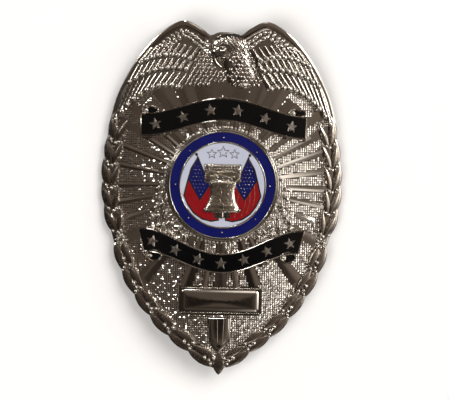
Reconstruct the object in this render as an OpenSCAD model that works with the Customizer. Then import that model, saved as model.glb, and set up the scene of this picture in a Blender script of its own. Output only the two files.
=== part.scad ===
// Shield badge: a cast, plated shield with a spread eagle on top, a border of leaves, polished
// rays, two enamelled ribbons, a plain number panel and a round enamelled seal.
// The badge lies face up: X runs across it, Y up to the eagle, Z out of its face.
// Millimetres. The origin is under the middle of the badge, level with its lowest edges.

/* [Shield] */
// Height of the badge, from the top of the wings to the point
badge_h = 82.5; // [78:0.5:87]
// Width of the badge across the leaves
badge_w = 56.8; // [54:0.2:60]
// Radius to which the face is bowed about the long axis
face_r = 85; // [80:1:105]
// Thickness of the cast plate
plate_t = 1.6; // [1.4:0.1:2]

/* [Leaf border] */
// Number of leaf pairs down each side
leaf_count = 12; // [10:1:14]
// Length of an outer leaf
leaf_len = 7.2; // [6:0.2:8]
// Width of an outer leaf
leaf_w = 2.5; // [2:0.1:2.8]
// Height of a leaf's ridge above the face
leaf_rise = 1; // [0.7:0.1:1.4]
// How far the leaves stand out past the edge of the plate
leaf_out = 0.8; // [0.6:0.1:1]
// Distance from the outline of the leaves to the stem that they spring from
stem_in = 3.4; // [3:0.1:3.8]
// Diameter of the bead at the foot of each pair
bead_d = 1.3; // [1:0.1:1.6]

/* [Rays] */
// Number of polished rays round the seal
ray_count = 36; // [30:2:40]
// Angle that one ray covers
ray_deg = 4; // [3:0.5:5]
// Height of a ray above the face
ray_rise = 0.35; // [0.2:0.05:0.5]

/* [Eagle] */
// Width of the rolled rim along the top of the wings
wing_rim = 1.4; // [1:0.1:1.8]
// Height of the wings' ground above the face
wing_rise = 0.5; // [0.4:0.1:0.8]
// Height of a feather above the wings' ground
feather_rise = 0.6; // [0.4:0.1:0.9]
// Height of the head and breast above the face
head_rise = 2.2; // [1.8:0.1:2.6]

/* [Ribbons] */
// Height of the ribbons' rims above the face
ribbon_rise = 1.3; // [1.1:0.1:1.6]
// Width of the polished rim round the enamel
ribbon_rim = 0.35; // [0.3:0.05:0.5]
// Half length of the upper ribbon
upper_half = 19.4; // [18:0.2:20]
// Height of the upper ribbon's ends above the middle of the badge
upper_y = 16.7; // [16.2:0.1:17.2]
// How far the middle of the upper ribbon arches above its ends
upper_arch = 4; // [3:0.2:4.4]
// Height of the upper ribbon's band
upper_h = 5.4; // [4.8:0.1:5.6]
// Number of stars on the upper ribbon
upper_stars = 6; // [4:1:7]
// Half length of the lower ribbon
lower_half = 19.6; // [18:0.2:20]
// Height of the lower ribbon's ends below the middle of the badge
lower_y = 9.9; // [9.5:0.1:10.5]
// How far the middle of the lower ribbon hangs below its ends
lower_arch = 5.3; // [4.8:0.1:5.8]
// Height of the lower ribbon's band at its middle
lower_h = 4.5; // [4:0.1:5]
// Number of stars on the lower ribbon
lower_stars = 7; // [5:1:8]
// Radius of a star's points
star_r = 1.45; // [1.1:0.05:1.6]

/* [Number panel] */
// Width of the panel
panel_w = 18; // [16:0.5:20]
// Height of the panel
panel_h = 5.1; // [4.6:0.1:5.4]
// Middle of the panel below the middle of the badge
panel_y = 23.9; // [23.6:0.1:24.4]
// Height of the panel above the face
panel_rise = 1.3; // [1:0.1:1.6]

/* [Seal] */
// Middle of the seal above the middle of the badge
seal_y = 3.1; // [2.8:0.1:3.4]
// Diameter of the seal
seal_d = 25.2; // [24.4:0.1:26]
// Thickness of the seal's disc
seal_t = 1.4; // [1.2:0.1:1.6]
// Width of the ring of enamel
ring_w = 2.1; // [1.6:0.1:2.4]
// Width of the metal edges that hold the enamel
edge_w = 0.35; // [0.3:0.05:0.45]
// Width of the metal lines between the colours
line_w = 0.25; // [0.2:0.05:0.3]
// Depth of the enamel
enamel_t = 0.5; // [0.4:0.05:0.6]
// Height of the bell above the seal's face
bell_rise = 0.9; // [0.6:0.1:1.2]

/* [Pin clasp] */
// Length of the clasp's foot
clasp_len = 40; // [34:1:44]
// Width of the clasp's foot
clasp_w = 4.4; // [4:0.2:5]
// Diameter of the pin
pin_d = 1.2; // [1:0.1:1.4]

/* [Hidden] */

// Gap between a piece and the seat that holds it
gap = 0.05;
// Facets of the rounds that are drawn as true circles
$fn = 180;

// Half sizes, and the height of the middle of the face above the lowest edges
half_w = badge_w / 2;
half_h = badge_h / 2;
back_r = face_r - plate_t;
crown_z = face_r - sqrt(pow(back_r, 2) - pow(half_w - leaf_out, 2));

// Right half of the outline, from the middle of the head down to the point.
// Columns: share of half_w, share of half_h
OUTLINE = [
    [0.00, 0.938], [0.06, 0.936], [0.125, 0.92], [0.20, 0.958], [0.33, 1.00], [0.46, 0.967],
    [0.59, 0.893], [0.71, 0.792], [0.80, 0.688], [0.885, 0.558], [0.947, 0.385], [0.985, 0.23],
    [1.00, 0.085], [0.975, -0.085], [0.915, -0.255], [0.82, -0.448], [0.676, -0.611],
    [0.486, -0.764], [0.271, -0.88], [0.11, -0.96], [0.00, -1.00]
];
// Row of OUTLINE at the dip beside the head, and at the tip of the wing
DIP_ROW = 2;
TIP_ROW = 10;
// Points drawn along each row of the outline
STEPS = 3;

// Lines across the right wing that the rows of feathers run between, top to bottom.
// Columns: inner end as shares of half_w and half_h, outer end the same, rise of the line's
// middle as a share of half_h
WING_LINES = [
    [0.205, 0.865, 0.590, 0.850, 0.035],
    [0.255, 0.780, 0.670, 0.775, 0.030],
    [0.265, 0.715, 0.775, 0.655, 0.032],
    [0.330, 0.620, 0.870, 0.500, 0.034]
];
// Number of feathers in each row of a wing
FEATHERS = [11, 10, 10];

// Half of the bell's outline, top to bottom, as shares of the field's radius
BELL = [
    [0.435, 0.49], [0.435, 0.10], [0.400, 0.045], [0.345, 0.06], [0.300, -0.03],
    [0.295, -0.20], [0.320, -0.36], [0.380, -0.49], [0.425, -0.60], [0.390, -0.64],
    [0.200, -0.65], [0.190, -0.78]
];
// Outline of the right flag, as shares of the field's radius
FLAG = [
    [0.60, 0.62], [0.42, 0.20], [0.20, 0.10], [0.10, -0.40], [0.10, -0.82], [0.25, -0.85],
    [0.47, -0.80], [0.66, -0.67], [0.80, -0.48], [0.90, -0.26], [0.82, 0.08], [0.74, 0.38]
];
// Lower edge of the flag's blue part, with its ends run out past the flag
CANTON_EDGE = [[0.95, 0.40], [0.81, 0.12], [0.53, -0.36], [0.33, -0.05], [0.20, 0.20]];

// Point at share t between b and c, on a smooth curve through a, b, c and d
function curve(a, b, c, d, t) =
    (2 * b + (c - a) * t + (2 * a - 5 * b + 4 * c - d) * t * t
     + (3 * b - a - 3 * c + d) * t * t * t) / 2;

// Smooth run of points through the rows first to last of a table
function smooth(rows, first, last) = [
    for (i = [first : last - 1])
        for (k = [0 : STEPS - 1])
            curve(rows[max(i - 1, 0)], rows[i], rows[i + 1], rows[min(i + 2, len(rows) - 1)],
                  k / STEPS),
    rows[last]
];

function unit(v) = v / norm(v);
function last_of(list) = list[len(list) - 1];
function backwards(list) = [for (i = [len(list) - 1 : -1 : 0]) list[i]];
function mirrored(list) = [for (p = backwards(list)) [-p.x, p.y]];
// A half outline that runs down the right side, closed round the left side
function both_sides(half) =
    concat(half, [for (p = backwards(half)) if (p.x > 0.01) [-p.x, p.y]]);
function sized(list, w, h) = [for (p = list) [p.x * w, p.y * h]];

// Right-hand side of the way from a to b
function right_of(a, b) = let (d = unit(b - a)) [d.y, -d.x];

// A loop that runs anticlockwise, moved outwards by w on every side
function grown(loop, w) = [
    for (i = [0 : len(loop) - 1])
        let (a = loop[(i + len(loop) - 1) % len(loop)], c = loop[(i + 1) % len(loop)],
             n = right_of(a, loop[i]), m = right_of(loop[i], c))
            loop[i] + (n + m) * w / (1 + n * m)
];

// Right half of the outline in millimetres, from row first to row last of OUTLINE
function side(first, last) = sized(smooth(OUTLINE, first, last), half_w, half_h);

// The same run moved in towards the middle of the badge by w, and no further
function side_in(first, last, w) = let (p = side(first, last)) [
    for (i = [0 : len(p) - 1])
        let (q = p[i] + w * right_of(p[max(i - 1, 0)], p[min(i + 1, len(p) - 1)]))
            [max(q.x, 0), q.y]
];

// Rounded rectangle round the origin
function rounded(w, h, r) = [
    for (q = [0 : 3])
        for (a = [0 : 15 : 90])
            [(q == 0 || q == 3 ? 1 : -1) * (w / 2 - r), (q < 2 ? 1 : -1) * (h / 2 - r)]
            + r * [cos(90 * q + a), sin(90 * q + a)]
];

// Five-pointed star, first point up
function star(r) = [for (i = [0 : 9]) (i % 2 == 0 ? r : r * 0.45) * [-sin(36 * i), cos(36 * i)]];

// The badge seen from above, leaves left out: round the wings the full outline, down the
// sides the edge of the plate
plate_half = concat(side(0, TIP_ROW), side_in(TIP_ROW + 1, len(OUTLINE) - 1, leaf_out));
plate_loop = backwards(both_sides(plate_half));

// Stem of the leaves down the right side, and the way along it to each of its points
stem = side_in(TIP_ROW, len(OUTLINE) - 2, stem_in);
stem_way = [for (i = 0, s = 0; i < len(stem); s = s + (i + 1 < len(stem)
            ? norm(stem[i + 1] - stem[i]) : 0), i = i + 1) s];
stem_x = [for (i = [0 : len(stem) - 1]) [stem_way[i], stem[i].x]];
stem_y = [for (i = [0 : len(stem) - 1]) [stem_way[i], stem[i].y]];
function stem_point(s) = [lookup(s, stem_x), lookup(s, stem_y)];

// Ribbons. Columns: half length, height of the ends, arch, band at the middle, band at the
// ends, slant of the ends
UPPER = [upper_half, upper_y, upper_arch, upper_h, upper_h, 0];
LOWER = [lower_half, -lower_y, -lower_arch, lower_h, lower_h + 1.2, 0.25];
// Points along each edge of a ribbon
RIBBON_STEPS = 16;

// Middle line of a ribbon at x, and the height of its band there
function ribbon_mid(r, x) = r[1] + r[2] * (1 + cos(180 * x / r[0])) / 2;
function ribbon_band(r, x) = r[3] + (r[4] - r[3]) * pow(sin(90 * x / r[0]), 2);
// Edge of a ribbon, from left to right: the top one for up = 1, the bottom one for up = -1
function ribbon_edge(r, up) = [
    for (i = [0 : RIBBON_STEPS])
        let (x = r[0] * (2 * i / RIBBON_STEPS - 1), y = up * ribbon_band(r, x) / 2)
            [x * (1 - r[5] * (1 - up) * abs(y) / r[0]), ribbon_mid(r, x) + y]
];
function ribbon_loop(r) = concat(ribbon_edge(r, -1), backwards(ribbon_edge(r, 1)));
// Middle of star i of n on a ribbon, and the slope of the ribbon there
function star_x(r, i, n) = r[0] * 0.82 * (2 * i / (n - 1) - 1);
function slope(r, x) = atan(-r[2] * PI / (2 * r[0]) * sin(180 * x / r[0]));

// Seal: heights above the crown, and the field inside the ring
seat_low = -0.3;
seat_rise = 0.6;
seat_wall = 0.5;
seal_z = crown_z + seat_low + gap;
field_r = seal_d / 2 - 2 * edge_w - ring_w;
bell_loop = backwards(both_sides(sized(BELL, field_r, field_r)));
flag_loop = sized(FLAG, field_r, field_r);
canton_edge = sized(CANTON_EDGE, field_r, field_r);
// Middle, height and radius of the stars over the bell, as shares of the field's radius
FIELD_STARS = [[0, 0.78, 0.145], [-0.27, 0.735, 0.12], [0.27, 0.735, 0.12]];

// Everything inside the bowed layer from lo to hi above the face
module layer(lo, hi) {
    translate([0, 0, crown_z - face_r])
        rotate([90, 0, 0])
            difference() {
                cylinder(h = 2 * badge_h, r = face_r + hi, center = true, $fn = 720);
                cylinder(h = 3 * badge_h, r = face_r + lo, center = true, $fn = 720);
            }
}

// A flat outline carried on to the bowed face, from lo to hi above it
module bowed(lo, hi) {
    intersection() {
        translate([0, 0, -1])
            linear_extrude(height = crown_z + head_rise + 3)
                children();
        layer(lo, hi);
    }
}

// Puts what is drawn round the origin on the face at point p, square to the face
module on_face(p) {
    translate([0, p.y, crown_z - face_r])
        rotate([0, asin(p.x / face_r), 0])
            translate([0, 0, face_r])
                children();
}

// The same on both sides of the middle
module on_both(p) {
    on_face(p)
        children();
    mirror([1, 0, 0])
        on_face(p)
            children();
}

// Raised form over a loop, through levels of [share of the loop's size, height]
module mound(loop, levels) {
    n = len(loop);
    middle = [for (p = loop) 1] * loop / n;
    points = [for (l = levels) for (p = loop) concat(middle + (p - middle) * l[0], l[1])];
    sides = [for (k = [0 : len(levels) - 2]) for (i = [0 : n - 1])
             let (j = (i + 1) % n)
                 [k * n + i, (k + 1) * n + i, (k + 1) * n + j, k * n + j]];
    top = [for (i = [n - 1 : -1 : 0]) (len(levels) - 1) * n + i];
    polyhedron(points, concat([[for (i = [0 : n - 1]) i]], sides, [top]));
}

// Leaf that lies from the origin along +Y
module leaf(length, width, rise) {
    right = [[0, 0], [0.36, 0.2], [0.5, 0.45], [0.36, 0.75], [0, 1]];
    left = [[-0.36, 0.75], [-0.5, 0.45], [-0.36, 0.2]];
    mound(sized(concat(right, left), width, length),
          [[1, -plate_t * 0.7], [1, rise * 0.35], [0.3, rise]]);
}

// Feather that lies from the origin along +Y, its tip round
module feather(length, width, rise) {
    loop = [[-0.4, 0], [0.4, 0], [0.5, 0.5], [0.45, 0.88], [0, 1], [-0.45, 0.88], [-0.5, 0.5]];
    mound(sized(loop, width, length), [[1, -rise], [1, rise * 0.3], [0.5, rise]]);
}

// Round bead on the face
module bead(d, rise) {
    mound([for (a = [22.5 : 45 : 360]) d / 2 * [cos(a), sin(a)]],
          [[1, -rise], [1, rise * 0.5], [0.6, rise]]);
}

// Leaf pairs and beads down both sides, and the leaf at the point
module leaf_border() {
    pitch = last_of(stem_way) / leaf_count;
    lean = 14;
    reach = stem_in - leaf_w / 2 - leaf_len * 0.45 * sin(lean);
    for (i = [0 : leaf_count - 1]) {
        foot = stem_point((i + 0.95) * pitch);
        up = foot - stem_point((i + 0.05) * pitch);
        heading = atan2(-up.y, -up.x) - 90;
        on_both(foot)
            rotate(heading)
                translate([reach, 0, 0])
                    rotate(-lean)
                        leaf(leaf_len, leaf_w, leaf_rise);
        on_both(foot)
            rotate(heading + lean)
                translate([-0.2 * leaf_w, 0.1 * leaf_w, 0])
                    leaf(leaf_len * 0.7, leaf_w * 0.65, leaf_rise * 0.8);
        on_both(foot)
            bead(bead_d, leaf_rise * 0.9);
    }
    translate([0, -half_h, 0])
        on_face([0, 0])
            leaf(leaf_len * 0.75, leaf_w * 1.3, leaf_rise);
}

// Polished rays round the seal, kept inside the leaves
module rays() {
    far = badge_h;
    near = seal_d / 2 - 2;
    step = 360 / ray_count;
    wheel = [
        for (i = [0 : ray_count - 1])
            for (k = [[near, -ray_deg / 2], [far, -ray_deg / 2], [far, ray_deg / 2],
                      [near, ray_deg / 2]])
                [0, seal_y] + k[0] * [sin(-i * step - k[1]), cos(-i * step - k[1])]
    ];
    ground = concat(stem, mirrored(stem));
    intersection() {
        translate([0, 0, -2])
            linear_extrude(height = crown_z + 6)
                polygon(backwards(ground));
        bowed(-plate_t / 2, ray_rise)
            polygon(wheel);
    }
}

// One wing's point at share t along line k
function wing_point(k, t) = let (w = WING_LINES[k])
    [half_w * (w[0] + (w[2] - w[0]) * t),
     half_h * (w[1] + (w[3] - w[1]) * t + w[4] * 4 * t * (1 - t))];

// Ground, rolled rim and feathers of both wings, then the head and breast
module eagle() {
    rim_out = side(DIP_ROW, TIP_ROW);
    rim_in = side_in(DIP_ROW, TIP_ROW, wing_rim);
    lower = [for (t = [1 : -0.1 : 0]) wing_point(3, t)];
    ground = backwards(concat(side_in(DIP_ROW, TIP_ROW, wing_rim / 2), lower));
    rim = backwards(concat(rim_out, backwards(rim_in)));
    for (side = [0, 1])
        mirror([side, 0, 0]) {
            bowed(-plate_t / 2, wing_rise)
                polygon(ground);
            bowed(-plate_t / 2, wing_rise + feather_rise)
                polygon(rim);
        }
    for (k = [0 : len(FEATHERS) - 1])
        for (i = [0 : FEATHERS[k] - 1]) {
            t = i / (FEATHERS[k] - 1);
            root = wing_point(k, t);
            tip = wing_point(k + 1, 0.08 + 0.92 * t);
            across = norm(wing_point(k, 1) - wing_point(k, 0)) / FEATHERS[k];
            on_both(root)
                translate([0, 0, wing_rise])
                    rotate(atan2(tip.y - root.y, tip.x - root.x) - 90)
                        feather(norm(tip - root) * 0.97, across * 0.95, feather_rise);
        }
    head = sized([[-0.105, 0.905], [-0.095, 0.87], [-0.05, 0.86], [-0.07, 0.75], [-0.04, 0.67],
                  [0.05, 0.64], [0.15, 0.67], [0.185, 0.75], [0.17, 0.85], [0.125, 0.915],
                  [0.06, 0.938], [-0.04, 0.936]], half_w, half_h);
    translate([0, 0, crown_z])
        mound(head, [[1, -plate_t / 2], [1, head_rise * 0.4], [0.8, head_rise * 0.8],
                     [0.45, head_rise]]);
}

// One ribbon: a solid band with a curl at each end, a sunk ground cut into both, and the stars
// standing in it
module ribbon(r, stars, curl_side) {
    curl = [3.6, 1.5];
    difference() {
        union() {
            bowed(-plate_t / 2, ribbon_rise)
                polygon(ribbon_loop(r));
            for (side = [-1, 1])
                bowed(-plate_t / 2, ribbon_rise * 0.8)
                    translate([side * (r[0] - curl.x * 0.65),
                               r[1] + curl_side * (r[4] + curl.y * 0.4) / 2])
                        polygon(rounded(curl.x, curl.y, curl.y * 0.49));
        }
        bowed(ribbon_rise - enamel_t, ribbon_rise + 1)
            polygon(grown(ribbon_loop(r), -ribbon_rim));
    }
    for (i = [0 : stars - 1]) {
        x = star_x(r, i, stars);
        bowed(0, ribbon_rise)
            translate([x, ribbon_mid(r, x)])
                rotate(slope(r, x))
                    polygon(star(star_r));
    }
}

// Enamel of one ribbon, open round each star
module ribbon_enamel(r, stars) {
    difference() {
        bowed(ribbon_rise - enamel_t + gap, ribbon_rise)
            polygon(grown(ribbon_loop(r), -ribbon_rim - gap));
        for (i = [0 : stars - 1]) {
            x = star_x(r, i, stars);
            translate([x, ribbon_mid(r, x), 0])
                rotate(slope(r, x))
                    linear_extrude(height = crown_z + ribbon_rise + 1)
                        polygon(grown(star(star_r), gap));
        }
    }
}

// Number panel with a plain raised frame round it
module number_panel() {
    frame_w = 0.9;
    bowed(-plate_t / 2, panel_rise * 0.6)
        translate([0, -panel_y])
            polygon(rounded(panel_w + 2 * frame_w, panel_h + 2 * frame_w, 0.6));
    bowed(-plate_t / 2, panel_rise)
        translate([0, -panel_y])
            polygon(rounded(panel_w, panel_h, 0.8));
}

// Broad polished ray between the number panel and the point
module foot_ray() {
    top = -panel_y - panel_h / 2 - 1.5;
    low = -half_h + leaf_len * 0.75;
    bowed(-plate_t / 2, ray_rise * 2)
        polygon([[-2.3, low + 1.1], [0, low], [2.3, low + 1.1], [1.9, top], [-1.9, top]]);
}

// The one cast piece
module shield_body() {
    color("silver")
        difference() {
            union() {
                bowed(-plate_t, 0)
                    polygon(plate_loop);
                rays();
                leaf_border();
                eagle();
                ribbon(UPPER, upper_stars, 1);
                ribbon(LOWER, lower_stars, -1);
                number_panel();
                foot_ray();
                translate([0, seal_y, crown_z - plate_t + 0.2])
                    cylinder(h = plate_t - 0.2 + seat_rise, d = seal_d + 2 * (gap + seat_wall));
            }
            translate([0, seal_y, crown_z + seat_low])
                cylinder(h = 5, d = seal_d + 2 * gap);
        }
}

// Places what belongs to the seal, drawn with its face at height 0
module on_seal() {
    translate([0, seal_y, seal_z + seal_t])
        children();
}

// Upright walls under the seal's face over a flat outline
module sunk(depth) {
    translate([0, 0, -depth])
        linear_extrude(height = depth)
            children();
}

// Part of the field below the flag's blue part, its top edge moved down by w
module below_canton(w) {
    polygon(backwards(concat([for (p = canton_edge) p - [0, w]],
                             [[0, -1.2 * field_r], [1.2 * field_r, -1.2 * field_r]])));
}

// The seal's disc: metal edges and lines, with the bell and three stars standing up
module seal_disc() {
    color("lightgray")
        on_seal() {
            translate([0, 0, -seal_t])
                cylinder(h = seal_t - enamel_t, d = seal_d);
            seal_edge(seal_d / 2);
            seal_edge(field_r + edge_w);
            for (side = [0, 1])
                mirror([side, 0, 0]) {
                    sunk(enamel_t + 0.1)
                        difference() {
                            polygon(grown(flag_loop, line_w));
                            polygon(flag_loop);
                        }
                    sunk(enamel_t + 0.1)
                        intersection() {
                            polygon(grown(flag_loop, line_w / 2));
                            difference() {
                                below_canton(-line_w / 2);
                                below_canton(line_w);
                            }
                        }
                }
            translate([0, 0, -enamel_t - 0.1])
                mound(bell_loop, [[1, 0], [1, enamel_t + 0.3], [0.8, enamel_t + bell_rise * 0.9],
                                  [0.5, enamel_t + bell_rise]]);
            for (s = FIELD_STARS)
                translate(field_r * [s[0], s[1]])
                    sunk(enamel_t + 0.1)
                        polygon(star(s[2] * field_r));
        }
}

// Raised metal edge that ends at radius r
module seal_edge(r) {
    translate([0, 0, -enamel_t - 0.1])
        difference() {
            cylinder(h = enamel_t + 0.1, r = r);
            translate([0, 0, -1])
                cylinder(h = 3, r = r - edge_w);
        }
}

// Enamel of the seal over a flat outline, less what the bell covers
module seal_enamel() {
    on_seal()
        difference() {
            translate([0, 0, gap - enamel_t])
                linear_extrude(height = enamel_t - gap)
                    children();
            sunk(2)
                polygon(grown(bell_loop, gap));
        }
}

module seal_ring_enamel() {
    color("navy")
        on_seal()
            translate([0, 0, gap - enamel_t])
                difference() {
                    cylinder(h = enamel_t - gap, r = seal_d / 2 - edge_w - gap);
                    translate([0, 0, -1])
                        cylinder(h = 3, r = field_r + edge_w + gap);
                }
}

module seal_field_enamel() {
    color("white")
        seal_enamel()
            difference() {
                circle(r = field_r - gap);
                for (side = [0, 1])
                    mirror([side, 0])
                        polygon(grown(flag_loop, line_w + gap));
                for (s = FIELD_STARS)
                    translate(field_r * [s[0], s[1]])
                        polygon(grown(star(s[2] * field_r), gap));
            }
}

// Blue part of the flag on one side
module canton(side) {
    color("midnightblue")
        seal_enamel()
            mirror([side, 0])
                difference() {
                    polygon(grown(flag_loop, -gap));
                    below_canton(-line_w / 2 - gap);
                }
}

// Red part of the flag on one side
module stripes(side) {
    color("firebrick")
        seal_enamel()
            mirror([side, 0])
                intersection() {
                    polygon(grown(flag_loop, -gap));
                    below_canton(line_w + gap);
                }
}

module canton_left() {
    canton(1);
}

module canton_right() {
    canton(0);
}

module stripes_left() {
    stripes(1);
}

module stripes_right() {
    stripes(0);
}

module upper_ribbon_enamel() {
    color("black")
        ribbon_enamel(UPPER, upper_stars);
}

module lower_ribbon_enamel() {
    color("black")
        ribbon_enamel(LOWER, lower_stars);
}

// Foot, knuckle, pin and catch in one plain piece, inside the hollow of the back
module pin_clasp() {
    foot_t = 0.6;
    foot_z = crown_z - plate_t - gap * 2 - foot_t;
    pin_z = foot_z - 1.6;
    knuckle_w = clasp_w * 0.8;
    reach = clasp_len / 2 - 2;
    color("goldenrod") {
        translate([-clasp_w / 2, -clasp_len / 2, foot_z])
            cube([clasp_w, clasp_len, foot_t]);
        translate([0, reach, pin_z])
            rotate([0, 90, 0])
                cylinder(h = knuckle_w, r = 1.1, center = true);
        translate([-knuckle_w / 2, reach - 1.1, pin_z])
            cube([knuckle_w, 2.2, foot_z - pin_z + 0.1]);
        translate([0, reach, pin_z])
            rotate([90, 0, 0])
                cylinder(h = 2 * reach + 0.8, d = pin_d);
        translate([0, -reach, pin_z])
            rotate([90, 0, 0])
                difference() {
                    union() {
                        cylinder(h = 2, r = 1.3, center = true);
                        translate([-0.9, 0, -1])
                            cube([1.8, foot_z - pin_z + 0.1, 2]);
                    }
                    cylinder(h = 3, r = pin_d / 2 + 0.2, center = true);
                    translate([0, -1.6, 0])
                        cube([1.6, 3.2, 3], center = true);
                }
    }
}

shield_body();
seal_disc();
seal_ring_enamel();
seal_field_enamel();
canton_left();
canton_right();
stripes_left();
stripes_right();
upper_ribbon_enamel();
lower_ribbon_enamel();
pin_clasp();
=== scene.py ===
import math

import bmesh
import bpy
import numpy as np
from mathutils import Matrix, Vector
from mathutils.geometry import delaunay_2d_cdt


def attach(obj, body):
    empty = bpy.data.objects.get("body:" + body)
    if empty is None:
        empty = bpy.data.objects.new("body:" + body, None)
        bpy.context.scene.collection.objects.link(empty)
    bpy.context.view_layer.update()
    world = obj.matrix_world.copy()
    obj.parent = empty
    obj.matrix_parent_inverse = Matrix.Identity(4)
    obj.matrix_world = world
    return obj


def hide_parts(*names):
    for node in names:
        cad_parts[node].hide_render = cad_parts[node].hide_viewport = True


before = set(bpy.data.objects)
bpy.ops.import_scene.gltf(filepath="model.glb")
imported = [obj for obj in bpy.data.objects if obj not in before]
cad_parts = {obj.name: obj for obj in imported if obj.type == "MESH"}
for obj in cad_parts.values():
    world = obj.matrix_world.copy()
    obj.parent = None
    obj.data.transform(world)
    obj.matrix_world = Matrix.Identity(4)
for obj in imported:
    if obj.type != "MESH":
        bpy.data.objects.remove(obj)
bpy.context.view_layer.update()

# The plate: one casting in white metal, bowed about its long axis and hollow behind, nickel
# plated and polished. Everything on the face stands on it. Sizes are in millimetres, heights
# are above the bowed face, and a finished piece is brought to metres.
MM = 0.001
HALF_W, HALF_H = 28.4, 41.25
FACE_RADIUS, PLATE, LEAF_OUT = 85.0, 1.6, 0.8
CROWN = FACE_RADIUS - math.sqrt((FACE_RADIUS - PLATE) ** 2 - (HALF_W - LEAF_OUT) ** 2)
# Right half of the outline, head to point, as shares of the half sizes
OUTLINE = [
    (0.00, 0.938), (0.06, 0.936), (0.125, 0.92), (0.20, 0.958), (0.33, 1.00), (0.46, 0.967),
    (0.59, 0.893), (0.71, 0.792), (0.80, 0.688), (0.885, 0.558), (0.947, 0.385), (0.985, 0.23),
    (1.00, 0.085), (0.975, -0.085), (0.915, -0.255), (0.82, -0.448), (0.676, -0.611),
    (0.486, -0.764), (0.271, -0.88), (0.11, -0.96), (0.00, -1.00),
]
# The rows of the dip beside the head and of the wing's tip
DIP_ROW, TIP_ROW = 2, 10


def smooth(rows, first, last, steps=3):
    """Points on a smooth curve through rows first to last."""
    rows = np.array(rows, float)
    points = []
    for i in range(first, last):
        a, b, c, d = rows[max(i - 1, 0)], rows[i], rows[i + 1], rows[min(i + 2, len(rows) - 1)]
        for t in np.arange(steps) / steps:
            points.append((2 * b + (c - a) * t + (2 * a - 5 * b + 4 * c - d) * t * t
                           + (3 * b - a - 3 * c + d) * t ** 3) / 2)
    return np.array(points + [rows[last]])


def side(first, last, steps=3):
    return smooth(OUTLINE, first, last, steps) * (HALF_W, HALF_H)


def side_in(first, last, depth, steps=3):
    """The right side moved in towards the middle by depth."""
    line = side(first, last, steps)
    way = np.array([line[min(i + 1, len(line) - 1)] - line[max(i - 1, 0)]
                    for i in range(len(line))])
    way /= np.linalg.norm(way, axis=1)[:, None]
    line = line + np.stack([way[:, 1], -way[:, 0]], 1) * depth
    line[:, 0] = np.maximum(line[:, 0], 0)
    return line


def both_sides(half):
    """A half outline that runs down the right side, closed round the left, anticlockwise."""
    left = half[half[:, 0] > 0.01] * (-1, 1)
    return np.concatenate([left, half[::-1]])


def inset(loop, depth):
    """An anticlockwise loop moved inwards by depth on every side."""
    back = loop - np.roll(loop, 1, 0)
    on = np.roll(loop, -1, 0) - loop
    normals = [np.stack([-w[:, 1], w[:, 0]], 1) / np.linalg.norm(w, axis=1)[:, None]
               for w in (back, on)]
    sharpest = 0.35
    corner = np.maximum(1 + (normals[0] * normals[1]).sum(1), sharpest)
    return loop + (normals[0] + normals[1]) * (depth / corner)[:, None]


def inside(points, loop):
    """Which points lie inside a loop."""
    x, y = np.asarray(points, float).T[:2]
    found = np.zeros(len(x), bool)
    for (ax, ay), (bx, by) in zip(loop, np.roll(loop, -1, 0)):
        if ay != by:
            crosses = (ay > y) != (by > y)
            found ^= crosses & (x < (bx - ax) * (y - ay) / (by - ay) + ax)
    return found


def cap(loop, cell):
    """Points inside a loop, a cell apart, and the triangles that fill it."""
    low, high = loop.min(0), loop.max(0)
    grid = np.array([(x, y) for y in np.arange(low[1] + cell / 2, high[1], cell)
                     for x in np.arange(low[0] + cell / 2, high[0], cell)]).reshape(-1, 2)
    if len(grid):
        near = np.min(np.linalg.norm(grid[:, None] - loop[None], axis=2), axis=1)
        grid = grid[inside(grid, loop) & (near > cell * 0.4)]
    points = np.concatenate([loop, grid])
    count = len(loop)
    ring = [(i, (i + 1) % count) for i in range(count)]
    made = delaunay_2d_cdt([Vector(p) for p in points], ring, [], 1, 1e-6)
    sources = [found[0] for found in made[3]]
    return grid, [[sources[i] for i in face] for face in made[2]]


def walls(rings, count, closed=False):
    """Faces between rings of count corners, and from the last ring to the first if closed."""
    return [(k * count + i, k * count + (i + 1) % count,
             (k + 1) % rings * count + (i + 1) % count, (k + 1) % rings * count + i)
            for k in range(rings if closed else rings - 1) for i in range(count)]


def slab(loop, levels, cell=1.6):
    """A closed solid over a loop, through levels of (inset, height) from the lowest up."""
    loop = np.array(loop, float)
    count = len(loop)
    rings = [np.column_stack([inset(loop, depth) if depth else loop, np.full(count, height)])
             for depth, height in levels]
    verts = list(np.concatenate(rings))
    faces = walls(len(levels), count)
    for ring, start, turn in ((rings[-1], (len(levels) - 1) * count, 1), (rings[0], 0, -1)):
        more, triangles = cap(ring[:, :2], cell)
        first = len(verts)
        verts += [(x, y, ring[0][2]) for x, y in more]
        place = [start + i if i < count else first + i - count for i in range(count + len(more))]
        faces += [[place[i] for i in face][::turn] for face in triangles]
    return np.array(verts), faces


def on_bow(points):
    """Lays points, with z as the height above the face, on the bowed face."""
    points = np.array(points, float)
    points[:, 2] = (CROWN - FACE_RADIUS
                    + np.sqrt((FACE_RADIUS + points[:, 2]) ** 2 - points[:, 0] ** 2))
    return points


def show(piece, material, nodes=()):
    """Gives a finished piece its metal or enamel, its body and the nodes it stands for."""
    piece.data.materials.clear()
    piece.data.materials.append(material)
    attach(piece, "root")
    if nodes:
        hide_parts(*nodes)
    return piece


def linked(name, data):
    """A new object in the scene."""
    made = bpy.data.objects.new(name, data)
    bpy.context.scene.collection.objects.link(made)
    return made


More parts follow.
